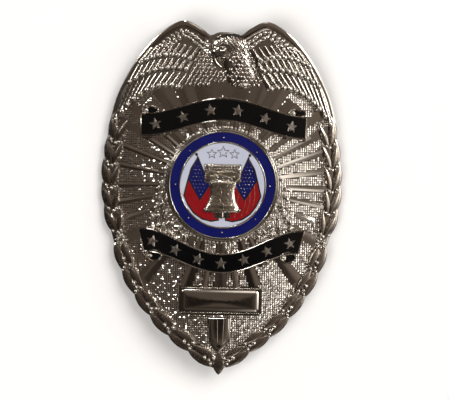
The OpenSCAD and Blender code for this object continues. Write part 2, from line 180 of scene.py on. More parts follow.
def cast(name, parts, material, nodes=(), crease=32, flat=False):
    """One piece from closed solids, laid on the bow unless flat, and brought to metres."""
    work = bmesh.new()
    for verts, faces in parts:
        verts = np.array(verts, float) if flat else on_bow(verts)
        made = [work.verts.new(p) for p in verts * MM]
        for face in faces:
            if len(set(face)) > 2:
                work.faces.new([made[i] for i in dict.fromkeys(face)])
    bmesh.ops.remove_doubles(work, verts=work.verts, dist=1e-7)
    bmesh.ops.recalc_face_normals(work, faces=work.faces)
    mesh = bpy.data.meshes.new(name)
    work.to_mesh(mesh)
    work.free()
    mesh.shade_smooth()
    mesh.set_sharp_from_angle(angle=math.radians(crease))
    return show(linked(name, mesh), material, nodes)


def wire(tree, socket, value):
    """Feeds a socket from another socket, a reading or a plain value."""
    value = getattr(value, "socket", value)
    if isinstance(value, bpy.types.NodeSocket):
        tree.links.new(value, socket)
    else:
        socket.default_value = value


def node(tree, kind, wires=(), **settings):
    made = tree.nodes.new(kind)
    for name, value in settings.items():
        setattr(made, name, value)
    for key, value in dict(wires).items():
        wire(tree, made.inputs[key], value)
    return made


class Reading:
    """A number that changes over a surface, for writing a node tree's sums."""

    def __init__(self, tree, socket):
        self.tree, self.socket = tree, socket

    def step(self, operation, *others):
        made = node(self.tree, "ShaderNodeMath", operation=operation)
        for socket, value in zip(made.inputs, (self, *others)):
            wire(self.tree, socket, value)
        return Reading(self.tree, made.outputs[0])

    def __add__(self, other):
        return self.step("ADD", other)

    def __sub__(self, other):
        return self.step("SUBTRACT", other)

    def __rsub__(self, other):
        return self.step("MULTIPLY_ADD", -1.0, other)

    def __mul__(self, other):
        return self.step("MULTIPLY", other)

    def __truediv__(self, other):
        return self.step("DIVIDE", other)

    def __pow__(self, other):
        return self.step("MAXIMUM", 0.0).step("POWER", other)

    def __abs__(self):
        return self.step("ABSOLUTE")

    __radd__, __rmul__ = __add__, __mul__


def group_of(name, kind, takes, gives):
    """An empty node group with named sockets, and readings of what it takes."""
    tree = bpy.data.node_groups.new(name, kind)
    for way, sockets in (("INPUT", takes), ("OUTPUT", gives)):
        for label, (socket_type, start) in sockets.items():
            made = tree.interface.new_socket(label, in_out=way, socket_type=socket_type)
            if way == "INPUT" and start is not None:
                made.default_value = start
    given = tree.nodes.new("NodeGroupInput")
    return tree, {s.name: Reading(tree, s) for s in given.outputs if s.name}


NUMBER, COUNT, COLOUR = "NodeSocketFloat", "NodeSocketInt", "NodeSocketColor"

# Shared by every metal and enamel here: faint clouds of tone, an uneven polish, and the fine
# orange peel of a plated or fired surface.
plating, given = group_of(
    "Plating", "ShaderNodeTree",
    {"Size": (NUMBER, 400.0), "Bright": (COLOUR, (0.6, 0.6, 0.6, 1)),
     "Dull": (COLOUR, (0.5, 0.5, 0.5, 1)), "Polished": (NUMBER, 0.1), "Worn": (NUMBER, 0.3)},
    {"Colour": (COLOUR, None), "Roughness": (NUMBER, None), "Relief": (NUMBER, None)})
place = node(plating, "ShaderNodeTexCoord").outputs["Object"]
clouds = node(plating, "ShaderNodeTexNoise",
              {"Vector": place, "Scale": given["Size"], "Detail": 4.0})
polish = node(plating, "ShaderNodeTexNoise",
              {"Vector": place, "Scale": given["Size"] * 3.7, "Detail": 5.0, "Roughness": 0.65})
peel = node(plating, "ShaderNodeTexNoise",
            {"Vector": place, "Scale": given["Size"] * 6.0, "Detail": 2.0})
tone = node(plating, "ShaderNodeMix",
            {0: clouds.outputs["Fac"], 6: given["Dull"], 7: given["Bright"]}, data_type="RGBA")
spread = node(plating, "ShaderNodeMapRange",
              {"Value": polish.outputs["Fac"], "From Min": 0.35, "From Max": 0.7,
               "To Min": given["Polished"], "To Max": given["Worn"]})
node(plating, "NodeGroupOutput", {"Colour": tone.outputs[2],
                                  "Roughness": spread.outputs["Result"],
                                  "Relief": peel.outputs["Fac"]})


def surfaced(name, depth, **values):
    """A material with its tone and surface from the plating group, its shader and its plating."""
    made = bpy.data.materials.new(name)
    made.use_nodes = True
    tree = made.node_tree
    shader = tree.nodes["Principled BSDF"]
    finish = node(tree, "ShaderNodeGroup", values, node_tree=plating)
    bump = node(tree, "ShaderNodeBump", {"Height": finish.outputs["Relief"],
                                         "Strength": 1.0, "Distance": depth})
    wire(tree, shader.inputs["Base Color"], finish.outputs["Colour"])
    wire(tree, shader.inputs["Normal"], bump.outputs["Normal"])
    return made, shader, finish


def plated(name, bright, dull, polished, worn, size=400.0, depth=0.00002):
    """A plated metal, with its uneven polish from the plating group as well."""
    made, shader, finish = surfaced(name, depth, Size=size, Bright=(*bright, 1), Dull=(*dull, 1),
                                    Polished=polished, Worn=worn)
    shader.inputs["Metallic"].default_value = 1.0
    wire(made.node_tree, shader.inputs["Roughness"], finish.outputs["Roughness"])
    return made


nickel = plated("Polished nickel", (0.66, 0.62, 0.57), (0.54, 0.50, 0.45), 0.06, 0.15,
                depth=0.000006)
plate_half = np.concatenate([side(0, TIP_ROW), side_in(TIP_ROW + 1, len(OUTLINE) - 1, LEAF_OUT)])
plate_loop = both_sides(plate_half)
# Inset and height of the plate's rounded edge, from the back to the face
PLATE_EDGE = [(0.25, -PLATE), (0.05, -PLATE + 0.06), (0, -PLATE + 0.2), (0, -0.35), (0.1, -0.1),
              (0.35, 0)]
cast("cast_plate", [slab(plate_loop, PLATE_EDGE)], nickel, ["shield_body"])

# The enamel ribbons, the seal's seat, the panel and the wings cover parts of the face. Their
# outlines are needed first, because the grained ground and the rays stop at them.
SEAL_Y, SEAL_RADIUS, SEAT_RADIUS = 3.1, 12.6, 13.15
STEM_IN, WING_IN = 3.4, 0.7
# Half length, height of the ends, arch, band at the middle, band at the ends, slant of ends
UPPER = (19.4, 16.7, 4.0, 5.4, 5.4, 0.0)
LOWER = (19.6, -9.9, -5.3, 4.5, 5.7, 0.25)
# Width and height of the panel, and how far below the badge's middle it is
PANEL_W, PANEL_H, PANEL_Y = 18.0, 5.1, 23.9
# Lines across the right wing, top to bottom: inner end, middle, outer end at the rim
WING_LINES = np.array([
    [(6.4, 34.6), (11.8, 35.7), (17.0, 34.6)], [(7.6, 31.8), (13.6, 32.9), (19.8, 31.0)],
    [(8.2, 29.4), (15.2, 29.6), (22.2, 26.4)], [(10.0, 25.2), (17.8, 24.8), (25.3, 17.6)],
])


def ribbon_mid(ribbon, x):
    """Height of a ribbon's middle line."""
    return ribbon[1] + ribbon[2] * (1 + np.cos(np.pi * x / ribbon[0])) / 2


def ribbon_band(ribbon, x):
    """Width of a ribbon's band."""
    return ribbon[3] + (ribbon[4] - ribbon[3]) * np.sin(np.pi / 2 * x / ribbon[0]) ** 2


def ribbon_edge(ribbon, up, steps=32):
    """A ribbon's top edge for up = 1, its bottom edge for up = -1."""
    x = ribbon[0] * np.linspace(-1, 1, steps + 1)
    y = up * ribbon_band(ribbon, x) / 2
    return np.column_stack([x * (1 - ribbon[5] * (1 - up) * np.abs(y) / ribbon[0]),
                            ribbon_mid(ribbon, x) + y])


def ribbon_loop(ribbon):
    return np.concatenate([ribbon_edge(ribbon, -1), ribbon_edge(ribbon, 1)[::-1]])


def circle(radius, count, middle=(0, SEAL_Y)):
    turn = np.arange(count) * 2 * np.pi / count
    return np.array(middle) + radius * np.column_stack([np.cos(turn), np.sin(turn)])


def rounded(width, height, radius, middle=(0, 0)):
    """Rounded rectangle, anticlockwise."""
    points = [((1 if q in (0, 3) else -1) * (width / 2 - radius) + radius * math.cos(a),
               (1 if q < 2 else -1) * (height / 2 - radius) + radius * math.sin(a))
              for q in range(4) for a in (math.pi / 2 * q + np.linspace(0, math.pi / 2, 6))]
    return np.array(points) + middle


def wing_point(k, t):
    """A point of line k across the wing, from its inner end to the rim."""
    first, middle, last = WING_LINES[k]
    bend = 2 * middle - (first + last) / 2
    return (1 - t) ** 2 * first + 2 * t * (1 - t) * bend + t * t * last


wing_half = np.concatenate([side_in(DIP_ROW, TIP_ROW, WING_IN),
                            [wing_point(3, t) for t in np.linspace(1, 0, 11)]])
wing_loop = wing_half[::-1]
stem = side_in(TIP_ROW, len(OUTLINE) - 2, STEM_IN)
stem_loop = np.concatenate([stem * (-1, 1), stem[::-1]])
head_loop = np.array([(-3.2, 38.3), (-3.4, 35), (-2.6, 31), (-3.2, 26.5), (4.6, 26.5),
                      (6.4, 30), (5.6, 36), (3.4, 38.4)])
foot_loop = np.array([(0, -35.9), (1.6, -34.7), (2.45, -32.5), (2.6, -28), (-2.6, -28),
                      (-2.45, -32.5), (-1.6, -34.7)])
covers = [ribbon_loop(UPPER), ribbon_loop(LOWER), circle(SEAT_RADIUS, 48), wing_loop,
          wing_loop * (-1, 1), head_loop, foot_loop,
          rounded(PANEL_W + 1.0, PANEL_H + 1.5, 0.6, (0, -PANEL_Y))]

# The rays: polished bars cast on the face, fanned out from the seal and widening outwards.
# They are narrow at the sides and broad towards the point, with broad blocks above the upper
# ribbon and short ones between it and the seal.
RAY_RISE, RAY_UNDER, RAY_GAP = 0.35, 0.6, 0.45
# Degrees clockwise from straight up, degrees covered, and where a ray starts late or ends early
RAYS = [
    (6.6, 15.0, 19, 27), (-9.5, 15.4, 19, 27), (20, 9.4, 18.5, 27), (-23, 9.6, 18.5, 27),
    (30, 9.2, 18, 27), (-33.5, 9.6, 18, 27), (41, 10, 17.5, 25.5), (-44.5, 9.6, 17.5, 25.5),
    (-44, 7, 0, 17), (-30.7, 7.5, 0, 17), (-16.5, 7, 0, 16.5), (-3, 7, 0, 16.5), (10, 7, 0, 16.5),
    (24, 7.5, 0, 16.5), (39, 7, 0, 17), (53, 3.8, 0, 0),
    (61.5, 3.6, 0, 0), (71, 3.3, 0, 0), (81.4, 3.1, 0, 0), (91.6, 3.1, 15, 0), (100.8, 3.3, 16, 0),
    (110.5, 3.6, 18.5, 23.3), (120.6, 5.4, 19, 0), (141, 6, 20, 0), (152, 5, 0, 21),
    (161, 6.5, 0, 25), (180, 7, 0, 25), (199, 6.5, 0, 25), (208, 5, 0, 21), (171, 3.5, 19, 25),
    (189, 3.5, 19, 25), (219, 6, 20, 0), (239.4, 5.4, 19, 0), (249.5, 3.6, 18.5, 23.3),
    (259.5, 3.3, 16, 0), (269, 3.1, 15, 0), (280, 3.1, 0, 0), (290.5, 3.3, 0, 0),
    (301, 3.6, 0, 0), (310, 3.8, 0, 0),
]


def reach(angle, loop):
    """Distance from the seal's middle to a loop, in a direction clockwise from up."""
    way = np.array([math.sin(angle), math.cos(angle)])
    found = []
    for a, b in zip(loop, np.roll(loop, -1, 0)):
        sides = np.array([way, a - b]).T
        if abs(np.linalg.det(sides)) > 1e-9:
            far, share = np.linalg.solve(sides, a - (0, SEAL_Y))
            if far > 0 and 0 <= share <= 1:
                found.append(far)
    return min(found)


# The numbers that a mark carries for a unit that is turned and sized, and for a ray
TURN_AND_SIZE = ("turn", "wide", "long", "high")
RAY_REACH = ("turn", "near", "far", "half", "rise")


def marks(name, rows, columns=TURN_AND_SIZE):
    """A mesh of single points that carry named numbers, for a tree to set its units on."""
    rows = np.array(rows, float)
    mesh = bpy.data.meshes.new(name)
    mesh.from_pydata(rows[:, :3].tolist(), [], [])
    for label, values in zip(columns, rows[:, 3:].T):
        mesh.attributes.new(label, "FLOAT", "POINT").data.foreach_set("value", values)
    return mesh


def named(tree, label):
    """Reading of a number that the marks carry."""
    found = node(tree, "GeometryNodeInputNamedAttribute", {"Name": label}, data_type="FLOAT")
    return Reading(tree, found.outputs["Attribute"])


def position(tree):
    """Readings of x, y and z."""
    split = node(tree, "ShaderNodeSeparateXYZ",
                 {0: node(tree, "GeometryNodeInputPosition").outputs[0]})
    return [Reading(tree, out) for out in split.outputs]


def moved_to(tree, geometry, x, y, z):
    where = node(tree, "ShaderNodeCombineXYZ", {0: x, 1: y, 2: z})
    return node(tree, "GeometryNodeSetPosition",
                {"Geometry": geometry, "Position": where.outputs[0]}).outputs[0]


SHAPE, METAL = "NodeSocketGeometry", "NodeSocketMaterial"
bow, given = group_of("Lay on the bow", "GeometryNodeTree",
                      {"Flat": (SHAPE, None), "Face radius": (NUMBER, 85.0),
                       "Crown": (NUMBER, 6.3)}, {"Bowed": (SHAPE, None)})
x, y, z = position(bow)
height = (((given["Face radius"] + z) ** 2 - x * x) ** 0.5 + given["Crown"]
          - given["Face radius"])
node(bow, "NodeGroupOutput", {"Bowed": moved_to(bow, given["Flat"], x, y, height)})


def hand_out(tree, given, shape, radius, crown, bowed=True):
    """Ends a tree: lays its shape on the bow, unless it is to stay flat, and gives it its metal."""
    if bowed:
        shape = node(tree, "GeometryNodeGroup",
                     {"Flat": shape, "Face radius": radius, "Crown": crown},
                     node_tree=bow).outputs[0]
    coat = node(tree, "GeometryNodeSetMaterial", {"Geometry": shape, "Material": given["Metal"]})
    node(tree, "NodeGroupOutput", {"Relief": coat.outputs[0]})


def struck(name, tree, carrier, material, crease=32, **sizes):
    """Runs a tree on its marks, keeps the result as a plain mesh and brings it to metres."""
    piece = linked(name, carrier)
    build = piece.modifiers.new("Build", "NODES")
    build.node_group = tree
    sockets = {item.name: item.identifier for item in tree.interface.items_tree
               if item.in_out == "INPUT"}
    for label, value in {"Metal": material, **sizes}.items():
        build[sockets[label.replace("_", " ")]] = value
    graph = bpy.context.evaluated_depsgraph_get()
    mesh = bpy.data.meshes.new_from_object(piece.evaluated_get(graph), depsgraph=graph)
    piece.modifiers.remove(build)
    piece.data = mesh
    bpy.data.meshes.remove(carrier)
    mesh.transform(Matrix.Scale(MM, 4))
    for label in [a.name for a in mesh.attributes if a.name in TURN_AND_SIZE + RAY_REACH]:
        mesh.attributes.remove(mesh.attributes[label])
    if crease:
        mesh.shade_smooth()
        mesh.set_sharp_from_angle(angle=math.radians(crease))
    else:
        mesh.shade_flat()
    return show(piece, material)


ray_tree, given = group_of(
    "Rays", "GeometryNodeTree",
    {"Marks": (SHAPE, None), "Metal": (METAL, None), "Middle": (NUMBER, SEAL_Y),
     "Slope": (NUMBER, 0.62), "Floor": (NUMBER, 0.3), "Edge": (NUMBER, 0.5)},
    {"Relief": (SHAPE, None)})
# A narrow ray has its edges let down; a broad one stays sharp
NARROW, EDGE_START, FULL_RADIUS = 0.036, 0.94, 27
bar = node(ray_tree, "GeometryNodeMeshCube",
           {"Size": (2.0, 1.0, 2.0), "Vertices X": 9, "Vertices Y": 14, "Vertices Z": 2})
spread = node(ray_tree, "GeometryNodeInstanceOnPoints",
              {"Points": given["Marks"], "Instance": bar.outputs[0]})
real = node(ray_tree, "GeometryNodeRealizeInstances", {"Geometry": spread.outputs[0]})
u, v, top = position(ray_tree)
radius = named(ray_tree, "near") + (v + 0.5) * (named(ray_tree, "far") - named(ray_tree, "near"))
u = u * (2 - abs(u))
across = named(ray_tree, "turn") + u * named(ray_tree, "half")
narrow = named(ray_tree, "half").step("LESS_THAN", NARROW)
drop = ((abs(u) - EDGE_START) / (1 - EDGE_START)).step("MAXIMUM", 0.0) * given["Edge"] * narrow
crest = (1 - abs(u) * given["Slope"]) * (1 - drop) * (radius / FULL_RADIUS * 0.7 + 0.3)
height = ((top * 0.5 + 0.5) * (named(ray_tree, "rise") * crest + given["Floor"])
          - given["Floor"])
placed = moved_to(ray_tree, real.outputs[0], across.step("SINE") * radius,
                  across.step("COSINE") * radius + given["Middle"], height)
hand_out(ray_tree, given, placed, FACE_RADIUS, CROWN)
ray_rows = []
for angle, width, start, stop in RAYS:
    turn, half = math.radians(angle), math.radians(width / 2)
    near = start or SEAT_RADIUS - RAY_UNDER
    far = stop or min(reach(turn + s * half, stem_loop) for s in (-1, 0, 1)) - RAY_GAP
    ray_rows.append((0, 0, 0, turn, near, far, half, RAY_RISE))
ray_marks = marks("rays", ray_rows, RAY_REACH)
struck("polished_rays", ray_tree, ray_marks, nickel, crease=25)

# The grained ground between the rays: small square studs cast with the plate in rows across
# and along the badge, each tilted its own way, so the ground sparkles like coarse linen.
GRAIN_PITCH, GRAIN_RISE, GRAIN_MARGIN = 0.52, 0.2, 1.6
# The ground reaches the plate's own edge above this height, where no leaves stand
LEAVES_END = 11
# Painted sheen: the grain is the same nickel plating as the rays, given a brighter colour so that
# its studs sparkle more.
bright_painted_grain_nickel = plated("Grained nickel", (0.88, 0.84, 0.79), (0.74, 0.70, 0.65), 0.08, 0.16, 900.0,
                 0.000006)


def relief_tree(name, unit, bowed=True, **sizes):
    """A tree that sets one unit on every mark, at the mark's turn, width, length and height,
    with a seeded random tilt, and lays the result on the bow."""
    takes = {"Marks": (SHAPE, None), "Metal": (METAL, None), "Face radius": (NUMBER, FACE_RADIUS),
             "Crown": (NUMBER, CROWN), "Tilt": (NUMBER, 0.0), "Seed": (COUNT, 1)}
    takes.update({label.replace("_", " "): (COUNT if isinstance(v, int) else NUMBER, v)
                  for label, v in sizes.items()})
    tree, given = group_of(name, "GeometryNodeTree", takes, {"Relief": (SHAPE, None)})
    chance = node(tree, "FunctionNodeRandomValue",
                  {0: (-1.0,) * 3, 1: (1.0,) * 3, "Seed": given["Seed"]},
                  data_type="FLOAT_VECTOR")
    tilt = node(tree, "ShaderNodeVectorMath", {0: chance.outputs[0]}, operation="SCALE")
    wire(tree, tilt.inputs["Scale"], given["Tilt"])
    lean = node(tree, "ShaderNodeSeparateXYZ", {0: tilt.outputs[0]})
    turn = node(tree, "ShaderNodeCombineXYZ",
                {0: lean.outputs[0], 1: lean.outputs[1],
                 2: named(tree, "turn") + Reading(tree, lean.outputs[2])})
    size = node(tree, "ShaderNodeCombineXYZ",
                {0: named(tree, "wide"), 1: named(tree, "long"), 2: named(tree, "high")})
    closed = node(tree, "GeometryNodeMergeByDistance",
                  {"Geometry": unit(tree, given), "Distance": 0.0005})
    spread = node(tree, "GeometryNodeInstanceOnPoints",
                  {"Points": given["Marks"], "Instance": closed.outputs[0],
                   "Rotation": turn.outputs[0], "Scale": size.outputs[0]})
    real = node(tree, "GeometryNodeRealizeInstances", {"Geometry": spread.outputs[0]})
    hand_out(tree, given, real.outputs[0], given["Face radius"], given["Crown"], bowed)
    return tree


def facet(tree, given):
    """A small square stud: steep sides, four low facets and a flat top."""
    block = node(tree, "GeometryNodeMeshCone", {"Vertices": 4, "Side Segments": 2,
                                                "Radius Top": 0.2, "Radius Bottom": 1.0,
                                                "Depth": 1.0})
    x, y, z = position(tree)
    foot, peak = z.step("LESS_THAN", 0.25), z.step("GREATER_THAN", 0.75)
    middle = 1 - foot - peak
    ring = (x * x + y * y) ** 0.5
    share = (foot * 0.5 + middle * given["Shoulder"] + peak * given["Top"]) / ring
    height = middle * (1 - given["Facet"]) + peak - foot * 0.4
    return moved_to(tree, block.outputs[0], (x - y) * share, (x + y) * share, height)


def open_ground(points):
    """Which points of the face no ray, ribbon, wing, panel or seal covers."""
    free = inside(points, stem_loop) | (inside(points, grain_edge) & (points[:, 1] > LEAVES_END))
    for loop in covers:
        free &= ~inside(points, loop)
    away = points - (0, SEAL_Y)
    turn = np.degrees(np.arctan2(away[:, 0], away[:, 1]))
    distance = np.linalg.norm(away, axis=1)
    for angle, width, start, stop in RAYS:
        off = np.abs((turn - angle + 180) % 360 - 180)
        free &= ~((off < width / 2 + np.degrees(0.15 / distance)) & (distance > (start or 0) - 0.1)
                  & (distance < (stop or 99)))
    return free


grain_edge = inset(plate_loop, GRAIN_MARGIN)
chance = np.random.default_rng(4)
grain_rows = []
for row_y in np.arange(-38, 38, GRAIN_PITCH):
    row = np.array([(x, row_y) for x in np.arange(-27, 27, GRAIN_PITCH)])
    for px, py in row[open_ground(row)]:
        wide, long, high = chance.uniform(0.82, 0.94, 3)
        grain_rows.append((px, py, 0, 0, GRAIN_PITCH * wide, GRAIN_PITCH * long,
                           GRAIN_RISE * high * chance.uniform(0.85, 1.15)))
grain_tree = relief_tree("Grained ground", facet, Shoulder=0.46, Top=0.1, Facet=0.4)
struck("grained_ground", grain_tree, marks("grain", grain_rows), bright_painted_grain_nickel, crease=0, Tilt=0.1,
       Seed=7)

# The leaf border: a wreath of leaves in clusters with berries between them, cast and plated
# with the plate. From a knot on each side they point up to the wings and down to the point,
# and the outer ones stand past the plate to make the badge's scalloped edge.
KNOT_Y, VINE_IN, UP_PITCH, DOWN_COUNT = -10.3, 2.4, 5.3, 6
# Offset outwards and along from the node, lean outwards, width, length, height, lift
UP_LEAVES = [(1.45, 0.6, 1, 1.9, 7.0, 0.8, 0.0), (0.35, 0.1, 15, 1.4, 5.7, 0.9, 0.12),
             (-0.15, 0.1, -14, 1.35, 5.9, 0.95, 0.12)]
DOWN_LEAVES = [(1.4, -0.2, 0, 2.0, 7.0, 0.9, 0.0), (-0.1, 0.1, -7, 1.7, 6.6, 0.95, 0.1)]
UP_BERRIES = [(0.05, -0.15, 0.85), (-0.65, 0.25, 0.7), (1.25, 0.5, 0.7)]
DOWN_BERRIES = [(0.6, 4.1, 0.85), (0.5, 5.3, 0.7), (-0.5, 5.9, 0.75), (0.95, 6.1, 0.65)]


def leaf(tree, given):
    """A long pointed leaf along +Y: two low slopes up to its middle, and steeper edges."""
    block = node(tree, "GeometryNodeMeshCube",
                 {"Size": (2.0, 1.0, 2.0), "Vertices X": 11, "Vertices Y": 13, "Vertices Z": 2})
    u, v, top = position(tree)
    v = v + 0.5
    width = ((v ** given["Fullness"]) * math.pi).step("SINE") ** 0.8
    shoulder = ((1 - abs(u)) / given["Edge"]).step("MINIMUM", 1.0)
    cheek = 0.5 + (shoulder * 0.2 + (1 - abs(u)) * given["Ridge"]) * width ** 0.25
    height = (top * 0.5 + 0.5) * (cheek * (width * 0.3 + 0.7) + given["Depth"]) - given["Depth"]
    return moved_to(tree, block.outputs[0], u * width * 0.5, v, height)


def bead(tree, given):
    ball = node(tree, "GeometryNodeMeshIcoSphere",
                {"Radius": 0.5, "Subdivisions": given["Rounds"]})
    return ball.outputs[0]


def travelled(line):
    """Distance along a line to each of its points."""
    return np.concatenate([[0], np.cumsum(np.linalg.norm(np.diff(line, axis=0), axis=1))])


def point_along(line, distance):
    return np.array([np.interp(distance, travelled(line), line[:, i]) for i in (0, 1)])


vine = side_in(TIP_ROW, len(OUTLINE) - 2, VINE_IN)
knot = float(np.interp(-KNOT_Y, -vine[:, 1], travelled(vine)))
down_pitch = (travelled(vine)[-1] - knot) / DOWN_COUNT
nodes = [(1, knot - (0.35 + i) * UP_PITCH, UP_LEAVES, UP_BERRIES) for i in range(5)]
nodes += [(-1, knot + 0.4 + i * down_pitch, DOWN_LEAVES, DOWN_BERRIES) for i in range(DOWN_COUNT)]
leaf_rows, berry_rows = [(0, -HALF_H, 0, 0, 2.7, 5.6, 1.0)], []
for flip, at, leaves, berries in nodes:
    foot = point_along(vine, at)
    ahead = point_along(vine, at - flip * UP_PITCH * 0.8) - foot
    heading = math.atan2(ahead[1], ahead[0]) - math.pi / 2
    out = flip * np.array([math.cos(heading), math.sin(heading)])
    along = np.array([-math.sin(heading), math.cos(heading)])
    for s in (1, -1):
        for aside, on, lean, wide, long, high, lift in leaves:
            x, y = foot + out * aside + along * on
            leaf_rows.append((x * s, y, lift, (heading - flip * math.radians(lean)) * s,
                              wide, long, high))
        for aside, on, wide in berries:
            x, y = foot + out * aside + along * on
            berry_rows.append((x * s, y, 0.85, 0, wide, wide * 1.2, wide * 0.9))
KNOT_RADIUS = 0.95
for turn in np.radians(np.arange(0, 360, 45)):
    x, y = point_along(vine, knot) + KNOT_RADIUS * np.array([-math.sin(turn), math.cos(turn)])
    berry_rows += [(x * s, y, 0.75, turn * s, 0.5, 1.15, 0.7) for s in (1, -1)]
leaf_tree = relief_tree("Leaves", leaf, Fullness=0.9, Ridge=0.09, Edge=0.25, Depth=1.1)
bead_tree = relief_tree("Beads", bead, Rounds=2)
# Painted highlight: the satin nickel is the same plating, given a brighter colour so that its
# beads, tips, coverts and stars light up more; its rougher polish is real.
satin_painted_bright = plated("Satin nickel", (0.84, 0.80, 0.74), (0.72, 0.68, 0.62), 0.2, 0.34)
# Painted shade: the leaves' nickel is the same plating, given a darker, browner colour so that the
# leaves read dark; its rougher polish is real.
leaf_nickel_painted_dark = plated("Leaf nickel", (0.52, 0.47, 0.42), (0.36, 0.32, 0.28), 0.14, 0.3)
struck("border_leaves", leaf_tree, marks("leaves", leaf_rows), leaf_nickel_painted_dark, crease=10)
struck("border_berries", bead_tree, marks("berries", berry_rows), satin_painted_bright, Rounds=3)

# Sprigs of small leaves and berries on the ground beside the seal's lower half, and a ring of
# small beads round the seal's seat. They are nickel plated and cast with the plate.
# Distance from the seal's middle, first and last angle from straight up, number of leaves
SPRIG_ROWS = [(14.4, 92, 142, 8), (16.0, 108, 140, 5), (17.6, 116, 136, 4), (19.0, 122, 132, 2)]
SEAT_BEADS, SEAT_BEAD_RADIUS = 92, 13.5
sprig_leaves, sprig_beads = [], []
for s in (1, -1):
    for radius, first, last, count in SPRIG_ROWS:
        for angle in np.radians(np.linspace(first, last, count)):
            at = radius * math.sin(angle), SEAL_Y + radius * math.cos(angle)
            sprig_leaves.append((at[0] * s, at[1], 0.15, -s * (angle + chance.uniform(-0.6, 1.2)),
                                 chance.uniform(0.75, 0.95), chance.uniform(1.7, 2.3), 0.9))
            dx, dy = chance.uniform(-0.7, 0.7, 2)
            size = chance.uniform(0.75, 1.0)
            sprig_beads.append(((at[0] + dx) * s, at[1] + dy, 0.6, 0, size, size, size))
for turn in np.arange(0, 2 * math.pi, 2 * math.pi / SEAT_BEADS):
    size = chance.uniform(0.5, 0.72)
    sprig_beads.append((SEAT_BEAD_RADIUS * math.sin(turn),
                        SEAL_Y + SEAT_BEAD_RADIUS * math.cos(turn), 0.2, 0, size, size, size))
struck("sprig_leaves", leaf_tree, marks("sprig leaves", sprig_leaves), nickel, crease=40,
       Tilt=0.12, Seed=5)
struck("sprig_berries", bead_tree, marks("sprig berries", sprig_beads), satin_painted_bright)

# The wings, cast and plated with the plate: a raised ground with a broad stepped rim along the
# top, three tiers of ribbed feathers with round bright ends, and two rows of small round
# coverts under the rim.
WING_RIM, WING_RISE, FEATHER_RISE = 2.0, 0.5, 0.6
FEATHER_COUNTS = (9, 10, 11)
COVERT_ROWS, COVERT_PITCH = (0.4, 1.5), 1.2


def moulding(path, profile, closed=False, taper=None):
    """A solid swept along a flat path from a profile of (side, height) points."""
    path = np.array(path, float)
    if closed:
        ahead, behind = np.roll(path, -1, 0), np.roll(path, 1, 0)
    else:
        ahead = np.concatenate([path[1:], path[-1:]])
        behind = np.concatenate([path[:1], path[:-1]])
    way = ahead - behind
    way /= np.linalg.norm(way, axis=1)[:, None]
    left = np.stack([-way[:, 1], way[:, 0]], 1)
    count, size = len(profile), np.ones(len(path)) if taper is None else np.array(taper)
    verts = [(*(p + n * s * k), h if h < 0 else h * k)
             for p, n, k in zip(path, left, size) for s, h in profile]
    faces = walls(len(path), count, closed)
    if not closed:
        last = (len(path) - 1) * count
        faces += [list(range(count))[::-1], [last + j for j in range(count)]]
    return np.array(verts), faces


def feather(tree, given):
    """A feather along +Y: a round quill with notches across it and a swelling at the tip."""
    block = node(tree, "GeometryNodeMeshCube",
                 {"Size": (2.0, 1.0, 2.0), "Vertices X": 7, "Vertices Y": 36, "Vertices Z": 2})
    u, v, top = position(tree)
    v = v + 0.5
    round_from, last_row = 0.86, 0.999
    tip = (1 - ((v - round_from) / (1 - round_from)).step("MAXIMUM", 0.0) ** 2) ** 0.5
    tip = tip * v.step("LESS_THAN", last_row)
    width = tip * (0.74 + v * 0.26)
    barbs = ((v + abs(u) * 0.12) * given["Barbs"] * 2 * math.pi).step("SINE") * given["Notch"]
    swell = (1 - (abs(v - 0.91) / 0.09)).step("MAXIMUM", 0.0) * given["Tip"]
    quill = ((1 - u * u) ** 0.5) * 0.8 + barbs * (1 - u * u)
    height = ((quill + 0.1) * (v * 0.5 + 0.5) + swell) * tip ** 0.25
    height = (top * 0.5 + 0.5) * (height + given["Depth"]) - given["Depth"]
    return moved_to(tree, block.outputs[0], u * width * 0.5, v, height)


# Side and height of the rolled rim: low sides, a broad top and a thin step inside it
RIM_PROFILE = [(1.0, -0.8), (1.0, 0.7), (0.92, 0.98), (0.6, 1.08), (0, 1.1), (-0.45, 1.05),
               (-0.5, 0.86), (-0.8, 0.82), (-0.92, 0.7), (-0.92, -0.8)]
wing_parts = []
for s in (1, -1):
    loop = wing_loop if s == 1 else (wing_loop * (-1, 1))[::-1]
    wing_parts.append(slab(loop, [(0, -0.8), (0, WING_RISE - 0.1), (0.12, WING_RISE)]))
    outer = side(DIP_ROW, TIP_ROW, 6)
    inner = side_in(DIP_ROW, TIP_ROW, WING_RIM, 6)
    thin = np.interp(np.linspace(0, 1, len(outer)), [0, 0.06, 0.25, 0.6, 1],
                     [0.6, 0.85, 1, 0.6, 0.4])
    path = (outer + (inner - outer) * (thin / 2)[:, None]) * (s, 1)
    wing_parts.append(moulding(path, RIM_PROFILE, taper=thin))
cast("wing_rims", wing_parts, nickel, crease=40)

feather_rows, tip_rows = [], []
for k, count in enumerate(FEATHER_COUNTS):
    for i in range(count):
        t = i / (count - 1)
        root, tip = wing_point(k, t), wing_point(k + 1, 0.06 + 0.94 * t)
        turn = math.atan2(tip[1] - root[1], tip[0] - root[0]) - math.pi / 2
        wide = np.linalg.norm(wing_point(k, 1) - wing_point(k, 0)) / count * 0.93
        long = np.linalg.norm(tip - root) * 1.02
        for s in (1, -1):
            feather_rows.append((root[0] * s, root[1], WING_RISE + 0.1 * (2 - k), turn * s,
                                 wide, long, FEATHER_RISE))
            tip_rows.append((tip[0] * s, tip[1] + 0.25, WING_RISE + 0.5, turn * s,
                             1.0, 1.35, 0.85))
feather_tree = relief_tree("Feathers", feather, Barbs=8.0, Notch=0.16, Tip=0.2, Depth=0.9)
struck("wing_feathers", feather_tree, marks("feathers", feather_rows), nickel, crease=45)
struck("feather_tips", bead_tree, marks("tips", tip_rows), satin_painted_bright, Rounds=3)
knob_rows = []
